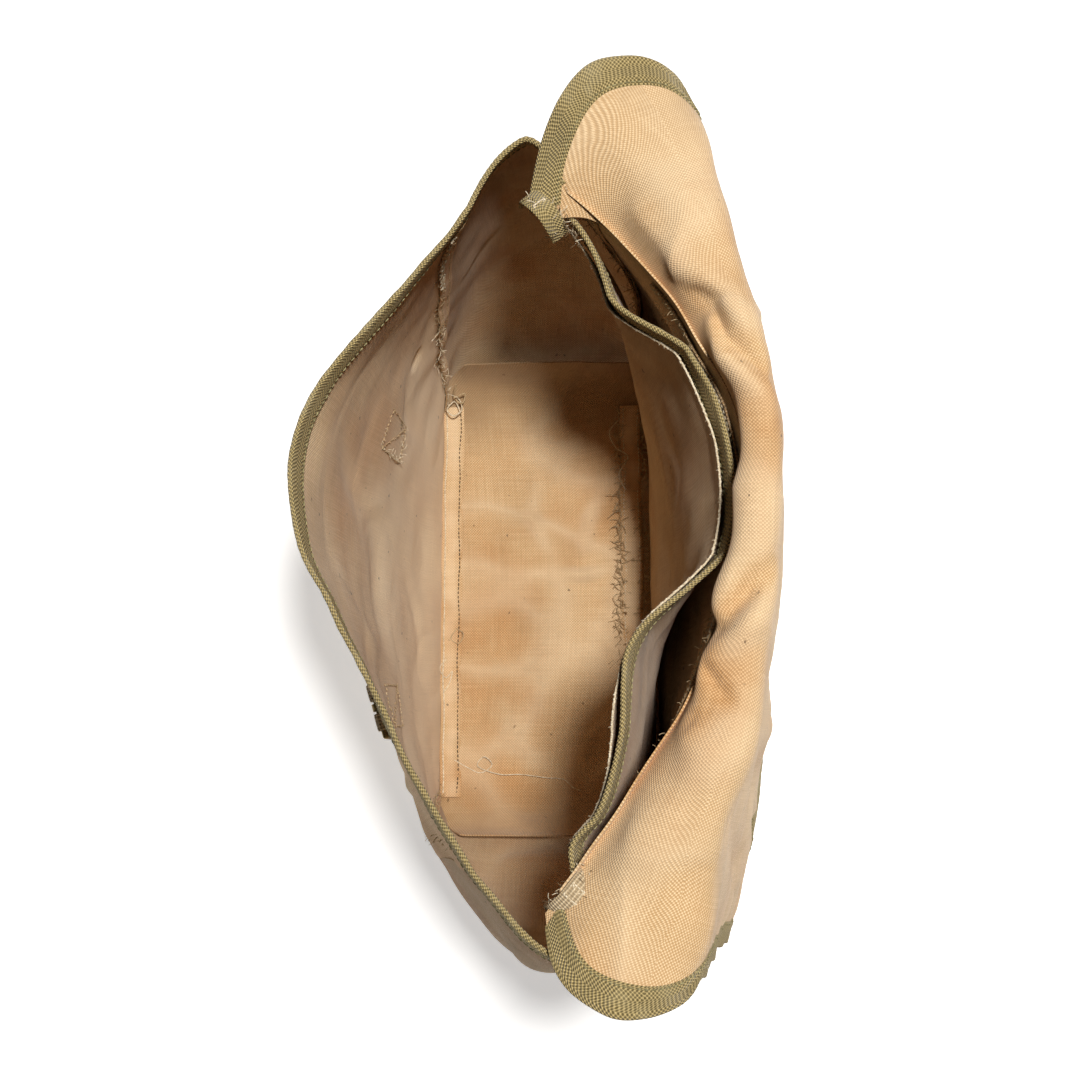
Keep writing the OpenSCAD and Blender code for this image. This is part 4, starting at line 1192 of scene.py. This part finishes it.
def boxStitch(centre, alongDir, acrossDir, long, wide):  # a sewn box with its diagonals
    c, a, b = np.array(centre, float), unit(np.array(alongDir, float)) * long / 2, unit(np.array(acrossDir, float)) * wide / 2
    corners = [c - a - b, c + a - b, c + a + b, c - a + b, c - a - b, c + a + b, c + a - b, c - a + b]
    return smoothCorners(corners)


def smoothCorners(points, each=12):
    points = np.array(points) * mm
    return np.concatenate([points[i] + (points[i + 1] - points[i]) * np.linspace(0, 1, each, endpoint=False)[:, None]
                           for i in range(len(points) - 1)] + [points[-1:]])


addSewing("cornerBoxStitches", [boxStitch((-148.5, 6, 268.4), (-9, -7, 0.3), (-0.6, 0.8, 0), 7, 6),
                                boxStitch((161, 19.5, 269.2), (12, -10, 0), (0.64, 0.76, 0), 6, 7)],
          "paleThread", pitch=1.5, length=1.6, radius=0.42)
cornerRuns = [smoothPath(line, 30) for line in ([(-155, -1, 264), (-149, 4, 266), (-140, 12, 262)], [(-152, 10, 264), (-143, 16, 264), (-134, 22, 258)],
                                                [(150, 30, 262), (160, 22, 266), (172, 9, 262)], [(148, 24, 262), (156, 18, 262), (166, 8, 260)])]
addSewing("cornerFray", cornerRuns, "darkThread", tool=fray, pitch=1.1, length=6.0, radius=0.2, seed=6)
addSewing("cornerFluff", cornerRuns, "paleThread", tool=fray, pitch=2.0, length=6.0, radius=0.2, seed=16)


def onPanel(fn, u, v, amount):  # a place on a panel, off its face
    us, vs = np.array([[u, u], [u + 0.004, u + 0.004]]), np.array([[v, v + 0.004], [v, v + 0.004]])
    q = shake(fn(us, vs))
    n = unit(np.cross(q[1, 0] - q[0, 0], q[0, 1] - q[0, 0]))
    return q[0, 0] + n * amount * mm


anchor = {"half": 25, "low": 0.44, "high": 0.585}
for side, label in ((-1, "left"), (1, "right")):
    u = 0.5 + side * 77 / (2 * frontHalf)
    du = 11 / (2 * frontHalf)
    outline = [(u - du, anchor["low"]), (u + du, anchor["low"]), (u + du, anchor["high"]), (u - du, anchor["high"]),
               (u - du, anchor["low"]), (u + du, anchor["high"])]
    path = np.concatenate([np.stack([onPanel(frontAt, mix(a[0], b[0], t), mix(a[1], b[1], t), -1.1) for t in np.linspace(0, 1, 16)])
                           for a, b in zip(outline[:-1], outline[1:])])
    addSewing(label + "AnchorStitches", [path], "khakiThread", slotName="canvas", pitch=2.2, length=1.8, radius=0.34, jitter=0.4)
    if side < 0:
        addSewing(label + "AnchorFray", [path[:40]], "paleThread", slotName="canvas", tool=fray, pitch=1.6, length=5.0, seed=3)

strips = {label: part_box(label + "_seam_strip") for label in ("front", "back")}
stripRuns = []
for low, high in strips.values():
    for y in (low[1] + 0.002, high[1] - 0.002):
        xs = span(180, low[0] + 0.004, high[0] - 0.004)
        line = np.stack([xs, y + 0 * xs, low[2] + 0.0022 + 0 * xs], -1)
        line[:, 1] += ripple(line[:, None], 45, 5)[:, 0] * 0.0012
        stripRuns.append(line)
addSewing("stripEdge", stripRuns[:1], "paleThread", slotName="canvas", pitch=1.6, length=1.9, radius=0.55)
addSewing("stripStitches", stripRuns[1:2], "darkThread", slotName="canvas", pitch=2.8, length=2.3, radius=0.48)
addSewing("backStripStitches", stripRuns[2:], "paleThread", slotName="canvas", pitch=2.6, length=2.0, radius=0.34)
addSewing("stripFray", [stripRuns[2] - (0, 0.003, 0.001), stripRuns[3] + (0, 0.003, -0.001)], "khakiThread", slotName="canvas",
          tool=fray, pitch=0.8, length=9.0, radius=0.26, seed=12)

looseEnds = {"baseThread": ([(104, -60, 4), (109, -51, 4), (112, -43, 4), (107, -36, 5), (102, -41, 6), (108, -45, 5), (113, -31, 4),
                             (113, -18, 3.5), (115, -2, 4), (116, 9, 4), (121, 15, 5), (123, 20, 5)], "paleThread"),
             "knotThread": ([(-134, -66, 14), (-127, -66, 9), (-132, -60, 8), (-124, -57, 10), (-119, -62, 12), (-124, -67, 9),
                             (-130, -62, 7), (-122, -58, 6)], "paleThread"),
             "knotThread2": ([(-138, -60, 20), (-132, -62, 12), (-128, -57, 10), (-134, -55, 12), (-130, -62, 16)], "khakiThread"),
             "stripThread": ([(40, -66, 4), (46, -70, 5), (52, -66, 5), (48, -62, 5), (56, -64, 4), (62, -68, 4)], "paleThread"),
             "stripThread2": ([(20, -60, 4), (24, -55, 5), (30, -58, 5), (27, -63, 5), (21, -60, 5)], "khakiThread"),
             "backThread": ([(-118, 47, 5), (-108, 40, 8), (-98, 44, 7), (-92, 52, 5), (-80, 46, 6), (-70, 50, 5)], "paleThread"),
             "cornerThread": ([(-150, 2, 268), (-155, 8, 262), (-150, 14, 255), (-144, 12, 246), (-146, 6, 240)], "paleThread")}
for name, (points, finish) in looseEnds.items():
    finished(thread(name, points, finish, 0.5 if "knot" in name else 0.3), "bag", "canvas")

for label, path in strapPaths.items():
    x = path[0, 0] / mm
    column, outward = flapColumn(x)
    zs = column[:, 2] / mm
    face = lambda dx, z: (x + dx, np.interp(z, zs[::-1], column[::-1, 1] / mm) + 0.75, z)
    box = [face(-10.5, 24), face(10.5, 24), face(10.5, 44), face(-10.5, 44), face(-10.5, 24), face(10.5, 44), face(10.5, 24),
           face(-10.5, 44)]
    addSewing(label + "PatchStitches", [smoothCorners(box)], "khakiThread", onFold, "canvas", pitch=2.4, length=1.9, radius=0.4)
print("sewing ready")
